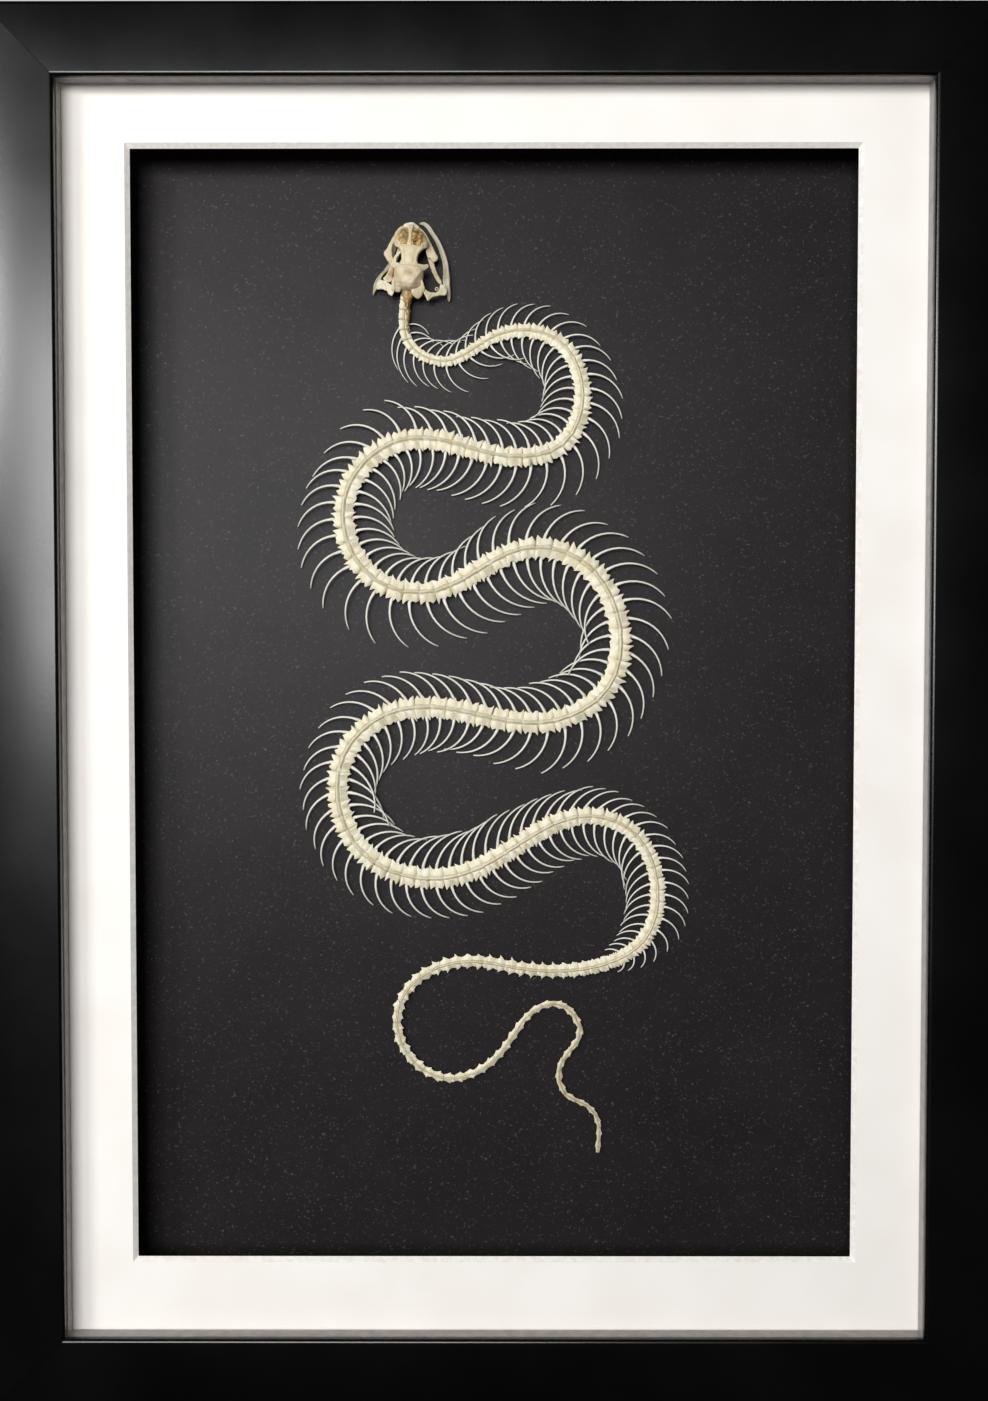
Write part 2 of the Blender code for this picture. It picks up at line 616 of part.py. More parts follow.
def make_jaws(material):
    bone_bar("maxilla_right", [
        (2.6, 15.4, 2.2, 0.25, 0.4), (3.8, 14.0, 2.5, 0.42, 0.6), (4.8, 12.4, 2.6, 0.6, 0.65),
        (5.6, 10.9, 2.7, 0.8, 0.6), (6.0, 9.8, 2.7, 0.8, 0.5), (5.9, 8.9, 2.6, 0.5, 0.4),
    ], material)
    bone_bar("maxilla_left", [
        (-2.3, 16.1, 2.2, 0.25, 0.4), (-3.7, 14.1, 2.5, 0.4, 0.6), (-4.4, 12.1, 2.6, 0.6, 0.65),
        (-4.8, 10.2, 2.7, 0.75, 0.6), (-5.2, 8.9, 2.7, 0.85, 0.5), (-4.8, 7.6, 2.6, 0.4, 0.4),
    ], material)
    bone_bar("pterygoid_right", [
        (3.2, 12.3, 1.6, 0.3, 0.3), (3.7, 11.2, 1.6, 0.42, 0.32), (4.6, 9.5, 1.6, 0.5, 0.35),
        (5.6, 7.5, 1.5, 0.5, 0.35), (6.6, 5.5, 1.45, 0.48, 0.35), (7.9, 3.9, 1.4, 0.42, 0.35),
    ], material)
    bone_bar("pterygoid_left", [
        (-2.7, 12.0, 1.75, 0.3, 0.25), (-2.9, 10.3, 1.75, 0.4, 0.28), (-3.4, 8.0, 1.75, 0.5, 0.28),
        (-3.9, 5.3, 1.75, 0.5, 0.3), (-4.4, 3.8, 1.75, 0.45, 0.3), (-5.1, 2.6, 1.75, 0.4, 0.3),
    ], material)
    bone_bar("quadrate_right", [
        (4.7, 1.0, 4.0, 0.3, 0.35), (5.6, -0.2, 3.9, 0.85, 0.4), (6.6, 0.2, 3.6, 0.65, 0.4),
        (7.6, 0.75, 3.2, 0.5, 0.4), (8.7, 1.6, 2.95, 0.85, 0.35), (9.3, 2.5, 2.8, 0.65, 0.3),
    ], material)
    bone_bar("quadrate_left", [
        (-3.5, -0.3, 4.0, 0.5, 0.35), (-4.2, 0.4, 3.9, 0.8, 0.4), (-5.0, 0.8, 3.5, 0.8, 0.4),
        (-5.9, 1.0, 3.1, 0.75, 0.4), (-6.8, 1.2, 2.9, 0.6, 0.35),
    ], material)
    bone_bar("mandible_right", [
        (1.7, 17.9, 0.95, 0.4, 0.45), (3.0, 17.55, 0.95, 0.5, 0.5), (4.45, 16.15, 1.0, 0.55, 0.55),
        (6.1, 14.05, 1.05, 0.6, 0.6), (7.55, 11.4, 1.1, 0.72, 0.7), (8.6, 8.9, 1.2, 0.78, 0.8),
        (9.25, 6.5, 1.3, 0.88, 0.95), (9.55, 3.9, 1.3, 0.95, 0.95), (9.95, 2.0, 1.2, 0.8, 0.85),
        (10.35, 0.2, 1.1, 0.4, 0.5),
    ], material)
    bone_bar("mandible_left", [
        (-1.0, 16.6, 0.85, 0.35, 0.4), (-2.3, 15.3, 0.85, 0.45, 0.45), (-3.5, 13.1, 0.9, 0.5, 0.5),
        (-4.3, 10.5, 0.95, 0.55, 0.5), (-4.75, 8.0, 0.95, 0.6, 0.5), (-5.35, 5.9, 1.0, 0.62, 0.55),
        (-6.4, 4.1, 1.2, 0.75, 0.8), (-7.15, 2.2, 1.2, 0.8, 0.85), (-7.6, -0.4, 1.1, 0.35, 0.5),
    ], material)


def main():
    for obj in list(bpy.data.objects):
        bpy.data.objects.remove(obj, do_unlink=True)
    surfaces = make_surfaces()
    make_moulding(surfaces["moulding"])
    make_sheet("glazing", "glazing", surfaces["glazing"])
    make_spacers("front_spacer", FRONT_SPACER_WIDTH, surfaces["spacer"])
    make_mat(surfaces["mat"])
    make_spacers("rear_spacer", REAR_SPACER_WIDTH, surfaces["spacer"])
    make_sheet("backing_card", "backing", surfaces["backing"])
    make_sheet("rear_board", "rear_board", surfaces["board"])
    make_rear_fittings(surfaces["steel"])
    make_backbone(surfaces["bone"])
    make_cranium(surfaces["bone"])
    make_snout(surfaces["tissue"])
    make_jaws(surfaces["bone"])


main()
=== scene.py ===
# A snake skeleton laid out in loops on black card, behind glass in a black shadow-box frame.
# Shapes are worked out in millimetres, X right and Z up, with the wall at y = 0 and the picture facing
# -Y. A bone's place is given on the card: x and z from the picture's middle, and its lift off the card.

import math

import bpy
import numpy as np
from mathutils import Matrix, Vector


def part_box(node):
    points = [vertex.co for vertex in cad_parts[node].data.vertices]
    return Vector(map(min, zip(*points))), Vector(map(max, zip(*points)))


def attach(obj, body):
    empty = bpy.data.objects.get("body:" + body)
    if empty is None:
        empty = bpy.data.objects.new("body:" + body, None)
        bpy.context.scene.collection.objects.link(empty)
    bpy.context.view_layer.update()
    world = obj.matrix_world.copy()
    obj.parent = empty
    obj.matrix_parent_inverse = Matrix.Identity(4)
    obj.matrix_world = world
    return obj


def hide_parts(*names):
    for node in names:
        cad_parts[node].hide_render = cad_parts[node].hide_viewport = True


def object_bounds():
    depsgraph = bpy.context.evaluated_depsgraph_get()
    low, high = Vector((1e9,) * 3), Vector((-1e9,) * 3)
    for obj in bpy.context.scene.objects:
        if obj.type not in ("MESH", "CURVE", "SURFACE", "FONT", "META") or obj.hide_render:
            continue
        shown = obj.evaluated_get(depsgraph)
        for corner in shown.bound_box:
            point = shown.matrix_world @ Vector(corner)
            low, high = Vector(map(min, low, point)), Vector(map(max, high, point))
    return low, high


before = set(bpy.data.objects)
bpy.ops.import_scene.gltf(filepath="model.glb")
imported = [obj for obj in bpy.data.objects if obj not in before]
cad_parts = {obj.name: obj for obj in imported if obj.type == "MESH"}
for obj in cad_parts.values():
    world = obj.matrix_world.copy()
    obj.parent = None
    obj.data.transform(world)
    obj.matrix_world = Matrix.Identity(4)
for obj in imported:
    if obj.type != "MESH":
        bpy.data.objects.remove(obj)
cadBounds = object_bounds()
mm = 0.001
frameSides = ("top", "bottom", "left", "right")
chance = np.random.default_rng(11)       # seeded, so each run gives the same bones


# Meshes

def nodeBox(name):
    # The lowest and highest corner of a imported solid, in millimetres.
    low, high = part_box(name)
    return np.array(low) / mm, np.array(high) / mm


def closedTubes(rings, **marks):
    # Tubes side by side, from rings[tube, station, corner, xyz]: walls between neighbouring rings, and
    # a fan round its own middle over each end. A tube of negative volume has its faces turned.
    count, stations, corners = rings.shape[:3]
    points = np.concatenate([rings.reshape(count, -1, 3), rings[:, [0, -1]].mean(axis=2)], axis=1)
    size = points.shape[1]
    station, corner = np.meshgrid(np.arange(stations - 1), np.arange(corners), indexing="ij")
    here, beside = station * corners + corner, station * corners + (corner + 1) % corners
    quads = np.stack([here, beside, beside + corners, here + corners], -1).reshape(-1, 4)
    edge = np.arange(corners)
    far = (stations - 1) * corners
    fans = np.concatenate([
        np.stack([np.full(corners, size - 2), (edge + 1) % corners, edge], -1),
        np.stack([np.full(corners, size - 1), far + edge, far + (edge + 1) % corners], -1),
    ])
    halves = np.concatenate([quads[:, :3], quads[:, [0, 2, 3]], fans])
    a, b, c = (points[:, halves[:, i]] - points[:, :1] for i in range(3))
    inward = np.einsum("tfi,tfi->t", a, np.cross(b, c)) < 0
    faces = []
    for block in (quads, fans):
        block = np.repeat(block[None], count, axis=0)
        block[inward] = block[inward][:, :, ::-1]
        faces.append((block + np.arange(count)[:, None, None] * size).reshape(-1, block.shape[2]))
    values = {}
    for name, mark in marks.items():
        mark = np.broadcast_to(mark, rings.shape[:3])
        ends = mark[:, [0, -1]].mean(axis=2)
        values[name] = np.concatenate([mark.reshape(count, -1), ends], axis=1).reshape(-1)
    return {"points": points.reshape(-1, 3), "faces": faces, "marks": values}


def makePiece(name, shells, materials, replaced=(), smooth=True, crease=None):
    # Joins shells into one mesh. "coats" gives each block of a shell's faces its place in materials.
    # A smooth piece keeps the edges sharp that turn by more than the crease, in degrees.
    points = np.concatenate([shell["points"] for shell in shells]) * mm
    loops, sizes, coats, offset = [], [], [], 0
    for shell in shells:
        for i, block in enumerate(shell["faces"]):
            loops.append((block + offset).reshape(-1))
            sizes.append(np.full(len(block), block.shape[1]))
            coats.append(np.full(len(block), shell["coats"][i] if "coats" in shell else 0))
        offset += len(shell["points"])
    loops, sizes, coats = (np.concatenate(each).astype(np.int32) for each in (loops, sizes, coats))
    mesh = bpy.data.meshes.new(name)
    mesh.vertices.add(len(points))
    mesh.vertices.foreach_set("co", points.astype(np.float32).reshape(-1))
    mesh.loops.add(len(loops))
    mesh.loops.foreach_set("vertex_index", loops)
    mesh.polygons.add(len(sizes))
    mesh.polygons.foreach_set("loop_start", (np.cumsum(sizes) - sizes).astype(np.int32))
    mesh.polygons.foreach_set("material_index", coats)
    mesh.update(calc_edges=True)
    mesh.validate()
    for mark in sorted({key for shell in shells for key in shell.get("marks", {})}):
        values = [shell.get("marks", {}).get(mark, np.zeros(len(shell["points"]))) for shell in shells]
        attribute = mesh.attributes.new(mark, "FLOAT", "POINT")
        attribute.data.foreach_set("value", np.concatenate(values).astype(np.float32))
    if smooth:
        mesh.shade_smooth()
        if crease is not None:
            mesh.set_sharp_from_angle(angle=math.radians(crease))
    else:
        mesh.shade_flat()
    for material in materials:
        mesh.materials.append(material)
    piece = bpy.data.objects.new(name, mesh)
    bpy.context.scene.collection.objects.link(piece)
    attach(piece, "root")
    if replaced:
        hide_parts(*replaced)


def splineThrough(rows, samples, across=None):
    # A natural cubic spline through the rows, read off at even steps of the distance between them,
    # which is measured in their first two columns unless across gives other points.
    rows = np.array(rows, float)
    places = rows[:, :2] if across is None else across
    knots = np.concatenate([[0.0], np.cumsum(np.linalg.norm(np.diff(places, axis=0), axis=1))])
    gaps = np.diff(knots)
    count = len(rows)
    system = np.eye(count)
    wanted = np.zeros_like(rows)
    for i in range(1, count - 1):
        system[i, i - 1:i + 2] = gaps[i - 1], 2 * (gaps[i - 1] + gaps[i]), gaps[i]
        wanted[i] = 6 * ((rows[i + 1] - rows[i]) / gaps[i] - (rows[i] - rows[i - 1]) / gaps[i - 1])
    bends = np.linalg.solve(system, wanted)
    at = np.linspace(0.0, knots[-1], samples)
    i = np.clip(np.searchsorted(knots, at, side="right") - 1, 0, count - 2)
    after, before, gap = (at - knots[i])[:, None], (knots[i + 1] - at)[:, None], gaps[i][:, None]
    line = (bends[i] * before**3 + bends[i + 1] * after**3) / (6 * gap)
    line += (rows[i] / gap - bends[i] * gap / 6) * before
    line += (rows[i + 1] / gap - bends[i + 1] * gap / 6) * after
    return line


# Materials
# Noise scales are waves for each metre: 400 gives a pattern 2.5 mm across. A Mix node's two colours are
# its inputs 6 and 7, and the mixed one is its output 2.

def srgb(code):
    # A hex colour as the linear colour that Blender works in.
    values = np.array([int(code[i:i + 2], 16) for i in (1, 3, 5)]) / 255
    linear = np.where(values <= 0.04045, values / 12.92, ((values + 0.055) / 1.055) ** 2.4)
    return (*(float(value) for value in linear), 1.0)


def addNode(tree, kind, settings=None, inputs=None, stops=None):
    # One node with its settings. An input is given a value, or the socket that feeds it; stops are a
    # colour ramp's places and hex colours.
    node = tree.nodes.new(kind)
    for name, value in (settings or {}).items():
        setattr(node, name, value)
    for name, value in (inputs or {}).items():
        if isinstance(value, bpy.types.NodeSocket):
            tree.links.new(value, node.inputs[name])
        else:
            node.inputs[name].default_value = value
    if stops:
        ramp = node.color_ramp.elements
        for place, code in stops[1:-1]:
            ramp.new(place)
        for element, (place, code) in zip(ramp, stops):
            element.position, element.color = place, srgb(code)
    return node


def startMaterial(name, values):
    # A material whose shader has these values, and the socket that places a pattern on its piece.
    material = bpy.data.materials.new(name)
    material.use_nodes = True
    tree = material.node_tree
    shader = tree.nodes["Principled BSDF"]
    for key, value in values.items():
        shader.inputs[key].default_value = value
    return material, tree, shader, addNode(tree, "ShaderNodeTexCoord").outputs["Object"]


def addMottle(tree, shader, pattern, stops):
    # The base colour: noise as the pattern says, coloured by the stops. Gives back the noise's socket.
    noise = addNode(tree, "ShaderNodeTexNoise", inputs=pattern).outputs["Fac"]
    colour = addNode(tree, "ShaderNodeValToRGB", inputs={"Fac": noise}, stops=stops)
    tree.links.new(colour.outputs["Color"], shader.inputs["Base Color"])
    return noise


def addBlush(tree, shader, colour, reddish):
    # The base colour, which turns reddish where the mark "blush" is high.
    red = addNode(tree, "ShaderNodeAttribute", {"attribute_name": "blush"})
    blushed = addNode(tree, "ShaderNodeMix", {"data_type": "RGBA"}, {
        0: red.outputs["Fac"], 6: colour, 7: srgb(reddish)})
    tree.links.new(blushed.outputs[2], shader.inputs["Base Color"])


def addGrain(tree, shader, place, size, depth, strength=1.0, detail=4.0):
    # Fine relief: noise of the given grain size, as bump of the given depth, both in millimetres.
    noise = addNode(tree, "ShaderNodeTexNoise", inputs={
        "Vector": place, "Scale": 1 / (size * mm), "Detail": detail, "Roughness": 0.6})
    bump = addNode(tree, "ShaderNodeBump", inputs={
        "Strength": strength, "Distance": depth * mm, "Height": noise.outputs["Fac"]})
    tree.links.new(bump.outputs["Normal"], shader.inputs["Normal"])


def makeMouldingFinish():
    # Wood moulding sprayed with black satin lacquer: nearly black, with a soft broad sheen that the
    # spray's orange-peel surface breaks up, and dusty, duller patches about 30 mm across.
    material, tree, shader, place = startMaterial("satinBlackLacqueredWood", {"IOR": 1.5})
    patches = addMottle(tree, shader, {"Vector": place, "Scale": 30.0, "Detail": 5.0},
                        [(0.3, "#020202"), (0.75, "#060506")])
    dull = addNode(tree, "ShaderNodeMapRange", inputs={
        "Value": patches, "From Min": 0.3, "From Max": 0.7, "To Min": 0.22, "To Max": 0.28})
    tree.links.new(dull.outputs["Result"], shader.inputs["Roughness"])
    addGrain(tree, shader, place, size=1.2, depth=0.02, strength=0.5, detail=2.0)
    return material


def makeRawWood(name, stretch):
    # The unpainted rear of the moulding, planed pine: pale straw with darker growth lines about 4 mm
    # apart, drawn out along the rail by the stretch.
    material, tree, shader, place = startMaterial(name, {"Roughness": 0.7})
    stretched = addNode(tree, "ShaderNodeMapping", inputs={"Vector": place, "Scale": stretch})
    addMottle(tree, shader, {"Vector": stretched.outputs["Vector"], "Scale": 260.0, "Detail": 4.0},
              [(0.35, "#8f6c41"), (0.65, "#c9a672")])
    addGrain(tree, shader, place, size=0.6, depth=0.05)
    return material


def makeGlass():
    # Picture glass coated against reflections: clear, with under one per cent of mirror from each face
    # seen square on, which rises with the fifth power of the slant, alike from both sides.
    material = bpy.data.materials.new("coatedPictureGlass")
    material.use_nodes = True
    tree = material.node_tree
    tree.nodes.remove(tree.nodes["Principled BSDF"])
    slant = addNode(tree, "ShaderNodeLayerWeight", inputs={"Blend": 0.5})
    risen = addNode(tree, "ShaderNodeMath", {"operation": "POWER"}, {0: slant.outputs["Facing"], 1: 5.0})
    mirror = addNode(tree, "ShaderNodeMapRange", inputs={"Value": risen.outputs["Value"], "To Min": 0.007})
    clear = addNode(tree, "ShaderNodeBsdfTransparent", inputs={"Color": srgb("#fefefe")})
    gloss = addNode(tree, "ShaderNodeBsdfGlossy", inputs={"Roughness": 0.0, "Color": srgb("#ffffff")})
    mixed = addNode(tree, "ShaderNodeMixShader", inputs={
        0: mirror.outputs["Result"], 1: clear.outputs["BSDF"], 2: gloss.outputs["BSDF"]})
    tree.links.new(mixed.outputs["Shader"], tree.nodes["Material Output"].inputs["Surface"])
    return material


def makeSpacerFinish():
    # Extruded grey PVC strip: a glossy skin that picks up the mat's white, faintly clouded, and duller
    # in spots 2.5 mm across.
    material, tree, shader, place = startMaterial("extrudedGreyPvc", {"IOR": 1.53})
    clouds = addMottle(tree, shader, {"Vector": place, "Scale": 400.0, "Detail": 2.0},
                       [(0.3, "#7d7a7a"), (0.8, "#959291")])
    dull = addNode(tree, "ShaderNodeMapRange", inputs={"Value": clouds, "To Min": 0.12, "To Max": 0.24})
    tree.links.new(dull.outputs["Result"], shader.inputs["Roughness"])
    return material


def makePaperFinish():
    # The mat board's facing: smooth white paper with a faint felt.
    material, tree, shader, place = startMaterial("whiteMatBoardPaper", {"Roughness": 0.85})
    addMottle(tree, shader, {"Vector": place, "Scale": 60.0, "Detail": 6.0},
              [(0.3, "#f1ece6"), (0.7, "#f6f2ed")])
    addGrain(tree, shader, place, size=0.8, depth=0.03, strength=0.5)
    return material


def makeCoreFinish():
    # The mat board's pulp core, laid open by the bevel cut: white and slightly fibrous, a millimetre
    # from fibre to fibre.
    material, tree, shader, place = startMaterial("matBoardPulpCore", {"Roughness": 0.9})
    addMottle(tree, shader, {"Vector": place, "Scale": 900.0, "Detail": 3.0},
              [(0.3, "#e6e1da"), (0.7, "#f7f4f0")])
    addGrain(tree, shader, place, size=0.5, depth=0.06, strength=0.7)
    return material


def makeCardFinish():
    # Black card: dyed pulp, matt charcoal with paler fibres and specks of dust a fifth of a millimetre
    # across, which are drawn three times as coarse so that they show.
    material, tree, shader, place = startMaterial(
        "matBlackCard", {"Roughness": 0.42, "Specular IOR Level": 0.15})
    cloud = addNode(tree, "ShaderNodeTexNoise", inputs={
        "Vector": place, "Scale": 45.0, "Detail": 8.0, "Roughness": 0.65})
    colour = addNode(tree, "ShaderNodeValToRGB", inputs={"Fac": cloud.outputs["Fac"]},
                     stops=[(0.3, "#1c191b"), (0.7, "#242022")])
    specks = addNode(tree, "ShaderNodeTexNoise", inputs={"Vector": place, "Scale": 1600.0, "Detail": 2.0})
    shown = addNode(tree, "ShaderNodeMapRange", inputs={
        "Value": specks.outputs["Fac"], "From Min": 0.62, "From Max": 0.8, "To Max": 0.5})
    mixed = addNode(tree, "ShaderNodeMix", {"data_type": "RGBA"}, {
        0: shown.outputs["Result"], 6: colour.outputs["Color"], 7: srgb("#6d6668")})
    tree.links.new(mixed.outputs[2], shader.inputs["Base Color"])
    addGrain(tree, shader, place, size=0.35, depth=0.06, strength=0.8)
    return material


def makeBoardFinish():
    # Hardboard: pressed brown wood fibre, mottled in clouds 8 mm across, with a coarse rough grain.
    material, tree, shader, place = startMaterial("pressedHardboard", {"Roughness": 0.75})
    addMottle(tree, shader, {"Vector": place, "Scale": 120.0, "Detail": 8.0, "Roughness": 0.7},
              [(0.3, "#5a3b22"), (0.7, "#8a6442")])
    addGrain(tree, shader, place, size=0.7, depth=0.08)
    return material


def makeSteelFinish():
    # Zinc-plated spring steel: bright grey metal with a faint bloom in spangles 2 mm across.
    material, tree, shader, place = startMaterial("zincPlatedSteel", {"Metallic": 1.0})
    bloom = addMottle(tree, shader, {"Vector": place, "Scale": 500.0, "Detail": 4.0},
                      [(0.3, "#a9abad"), (0.7, "#d6d7d6")])
    dull = addNode(tree, "ShaderNodeMapRange", inputs={"Value": bloom, "To Min": 0.22, "To Max": 0.42})
    tree.links.new(dull.outputs["Result"], shader.inputs["Roughness"])
    addGrain(tree, shader, place, size=0.5, depth=0.01, strength=0.4)
    return material


def makeBoneFinish(name, pale, warm, stain, grain=0.35):
    # Dry, cleaned bone: a pale waxy surface that yellows in patches 3 mm across and darkens where its
    # mark says, broken up by a fine speckle, with a fine pitted relief. The mark holds painted shade in
    # hollows, seams and undersides, and real brown staining.
    material, tree, shader, place = startMaterial(name, {"Roughness": 0.5, "IOR": 1.54})
    patches = addNode(tree, "ShaderNodeTexNoise", inputs={"Vector": place, "Scale": 350.0, "Detail": 4.0})
    spread = addNode(tree, "ShaderNodeMapRange", inputs={
        "Value": patches.outputs["Fac"], "From Min": 0.35, "From Max": 0.65})
    base = addNode(tree, "ShaderNodeMix", {"data_type": "RGBA"}, {
        0: spread.outputs["Result"], 6: srgb(pale), 7: srgb(warm)})
    marked = addNode(tree, "ShaderNodeAttribute", {"attribute_name": "stain"})
    speckle = addNode(tree, "ShaderNodeTexNoise", inputs={"Vector": place, "Scale": 1500.0, "Detail": 3.0})
    unevenly = addNode(tree, "ShaderNodeMapRange", inputs={
        "Value": speckle.outputs["Fac"], "From Min": 0.3, "From Max": 0.7, "To Min": 0.55, "To Max": 1.2})
    amount = addNode(tree, "ShaderNodeMath", {"operation": "MULTIPLY", "use_clamp": True}, {
        0: marked.outputs["Fac"], 1: unevenly.outputs["Result"]})
    stainedAndShaded = addNode(tree, "ShaderNodeMix", {"data_type": "RGBA"}, {
        0: amount.outputs["Value"], 6: base.outputs[2], 7: srgb(stain)})
    addBlush(tree, shader, stainedAndShaded.outputs[2], "#9c7358")
    addGrain(tree, shader, place, size=grain, depth=0.04, strength=0.7)
    return material


def makeTissueFinish():
    # Dried skin and cartilage left over the nose and at the nape: translucent amber horn that has
    # shrunk into curls 2 mm across. Its colour follows the curls' relief, golden on the ridges and dark
    # brown in the hollows, which is its own brown deepened by painted shade. It is cream where its mark
    # is low.
    material, tree, shader, place = startMaterial("driedCartilage", {"Roughness": 0.5, "IOR": 1.5})
    folds = addNode(tree, "ShaderNodeTexNoise", inputs={
        "Vector": place, "Scale": 560.0, "Detail": 3.0, "Distortion": 2.2})
    colour = addNode(tree, "ShaderNodeValToRGB", inputs={"Fac": folds.outputs["Fac"]},
                     stops=[(0.4, "#48290b"), (0.5, "#85601f"), (0.6, "#bd9f5b")])
    marked = addNode(tree, "ShaderNodeAttribute", {"attribute_name": "stain"})
    creamed = addNode(tree, "ShaderNodeMix", {"data_type": "RGBA"}, {
        0: marked.outputs["Fac"], 6: srgb("#cfbf93"), 7: colour.outputs["Color"]})
    addBlush(tree, shader, creamed.outputs[2], "#a8764a")
    bump = addNode(tree, "ShaderNodeBump", inputs={
        "Strength": 0.8, "Distance": 0.25 * mm, "Height": folds.outputs["Fac"]})
    tree.links.new(bump.outputs["Normal"], shader.inputs["Normal"])
    return material


finishes = {
    "moulding": makeMouldingFinish(),
    "levelWood": makeRawWood("planedPineLevel", (0.05, 1.0, 1.0)),
    "uprightWood": makeRawWood("planedPineUpright", (1.0, 1.0, 0.05)),
    "glass": makeGlass(),
    "spacer": makeSpacerFinish(),
    "paper": makePaperFinish(),
    "core": makeCoreFinish(),
    "card": makeCardFinish(),
    "board": makeBoardFinish(),
    "steel": makeSteelFinish(),
    "vertebra": makeBoneFinish("creamDryBone", "#eae4ce", "#e0d7b8", "#8c7e50"),
    "rib": makeBoneFinish("paleDryBone", "#eae7de", "#dcd8cc", "#8a8068", grain=0.25),
    "skull": makeBoneFinish("waxyDryBone", "#dfd5b8", "#d3c39c", "#86683f"),
    "jaw": makeBoneFinish("greyDryBone", "#bab39c", "#a9a087", "#6c6146"),
    "tissue": makeTissueFinish(),
}
# The solids that are shown as they are; the pieces made below replace all the others.
for name, finish in (
    ("glazing", "glass"), ("backing_card", "card"), ("rear_board", "board"),
    *((f"rear_spacer_{side}", "spacer") for side in frameSides),
):
    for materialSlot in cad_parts[name].material_slots:
        materialSlot.material = finishes[finish]
print("materials made")


# Frame

moulding = {
    "face": 16.5,            # width of the moulding seen from the front
    "lip": 1.4,              # thickness over the glass
    "rebate": 11.0,          # from the outer edge to the rebate's wall
    "outerRounding": 1.2,
    "innerRounding": 0.9,
    "mitreGap": 0.05,        # half of the hairline at each corner
    "stretch": {"top": 1.024, "bottom": 0.958, "left": 1.0, "right": 1.0},       # of each rail's face
    # for each rail: the rails at its two ends, and which way it runs and faces outwards, as (x, z)
    "rails": {
        "top": (("left", "right"), (1, 0), (0, 1)), "bottom": (("right", "left"), (-1, 0), (0, -1)),
        "left": (("bottom", "top"), (0, 1), (-1, 0)), "right": (("top", "bottom"), (0, -1), (1, 0)),
    },
}


def makeMoulding():
    # The profile is a row of (inset from the edge, y), with a quarter circle on each front edge. It is
    # carried along each side and cut at 45 degrees, where the inset and the length shrink alike. Its last
    # three walls are bare wood: the lip's underside, the rebate and the rear.
    low = np.minimum(nodeBox("frame_left")[0], nodeBox("frame_bottom")[0])
    high = np.maximum(nodeBox("frame_right")[1], nodeBox("frame_top")[1])
    front = low[1]
    halfWidth, halfHeight = (high[0] - low[0]) / 2, (high[2] - low[2]) / 2
    middle = (low[2] + high[2]) / 2
    face, outer, inner = moulding["face"], moulding["outerRounding"], moulding["innerRounding"]
    turn = np.radians(np.linspace(0, 90, 9))
    profile = np.concatenate([
        [(0.0, 0.0)],
        np.stack([outer - outer * np.cos(turn), front + outer - outer * np.sin(turn)], -1),
        np.stack([face - inner + inner * np.sin(turn), front + inner - inner * np.cos(turn)], -1),
        [(face, front + moulding["lip"]), (moulding["rebate"], front + moulding["lip"])],
        [(moulding["rebate"], 0.0)],
    ])
    inset, depth = profile.T
    count = len(profile)
    corner = np.arange(count)
    beside = (corner + 1) % count
    walls = np.stack([corner, corner + count, beside + count, beside], -1)
    for side, (ends, runs, faces) in moulding["rails"].items():
        level = side in ("top", "bottom")
        halfLong, halfAcross = (halfWidth, halfHeight) if level else (halfHeight, halfWidth)
        across = halfAcross - inset * moulding["stretch"][side]
        rings = []
        for end, beyond in zip((-1, 1), ends):
            along = end * (halfLong - inset * moulding["stretch"][beyond] - moulding["mitreGap"])
            x, z = (along * runs[i] + across * faces[i] for i in (0, 1))
            rings.append(np.stack([x, depth, middle + z], -1))
        bar = {"points": np.concatenate(rings), "coats": [0, 1, 0, 0],
               "faces": [walls[:-3], walls[-3:], corner[None], corner[None, ::-1] + count]}
        wood = finishes["levelWood" if level else "uprightWood"]
        makePiece(f"rail{side.title()}", [bar], [finishes["moulding"], wood],
                  [f"frame_{side}"], crease=35)


makeMoulding()
print("frame rails made")


# Spacers between glass and mat

frontSpacer = {
    "faces": {"top": 145.55, "bottom": -146.6, "left": -100.3, "right": 100.5},      # from the middle
    "softening": 0.12,       # radians round the section that each edge's flat takes, on either side
}


def makeFrontSpacer(side):
    # A square strip with softened edges. The upright pair runs the full height, the level pair between.
    low, high = nodeBox(f"front_spacer_{side}")
    matLow, matHigh = nodeBox("mat_board")
    level = side in ("top", "bottom")
    axis = 2 if level else 0
    inner = frontSpacer["faces"][side] + ((matLow[2] + matHigh[2]) / 2 if level else 0)
    if side in ("top", "right"):
        low[axis] = inner
    else:
        high[axis] = inner
    if level:
        low[0], high[0] = frontSpacer["faces"]["left"], frontSpacer["faces"]["right"]
    turn = np.radians(np.arange(4) * 90 + 45)
    around = np.sort(np.concatenate([turn - frontSpacer["softening"], turn + frontSpacer["softening"]]))
    square = np.stack([np.cos(around), np.sin(around)], -1)
    square = square / np.abs(square).max()
    centre, half = (low + high) / 2, (high - low) / 2
    rings = []
    for end in (-1, 1):
        ring = np.empty((len(square), 3))
        ring[:, 2 - axis] = centre[2 - axis] + end * half[2 - axis]
        ring[:, axis] = centre[axis] + square[:, 0] * half[axis]
        ring[:, 1] = centre[1] + square[:, 1] * half[1]
        rings.append(ring)
    makePiece(f"frontSpacer{side.title()}", [closedTubes(np.array(rings)[None])], [finishes["spacer"]],
              [f"front_spacer_{side}"], smooth=False)


for side in frameSides:
    makeFrontSpacer(side)
print("front spacers made")


# Mat board

matBoard = {
    "thickness": 1.0,
    "window": (169.6, 261.0),        # at the rear face; the bevel makes it wider in front
    "windowShift": (-0.1, 0.85),
}


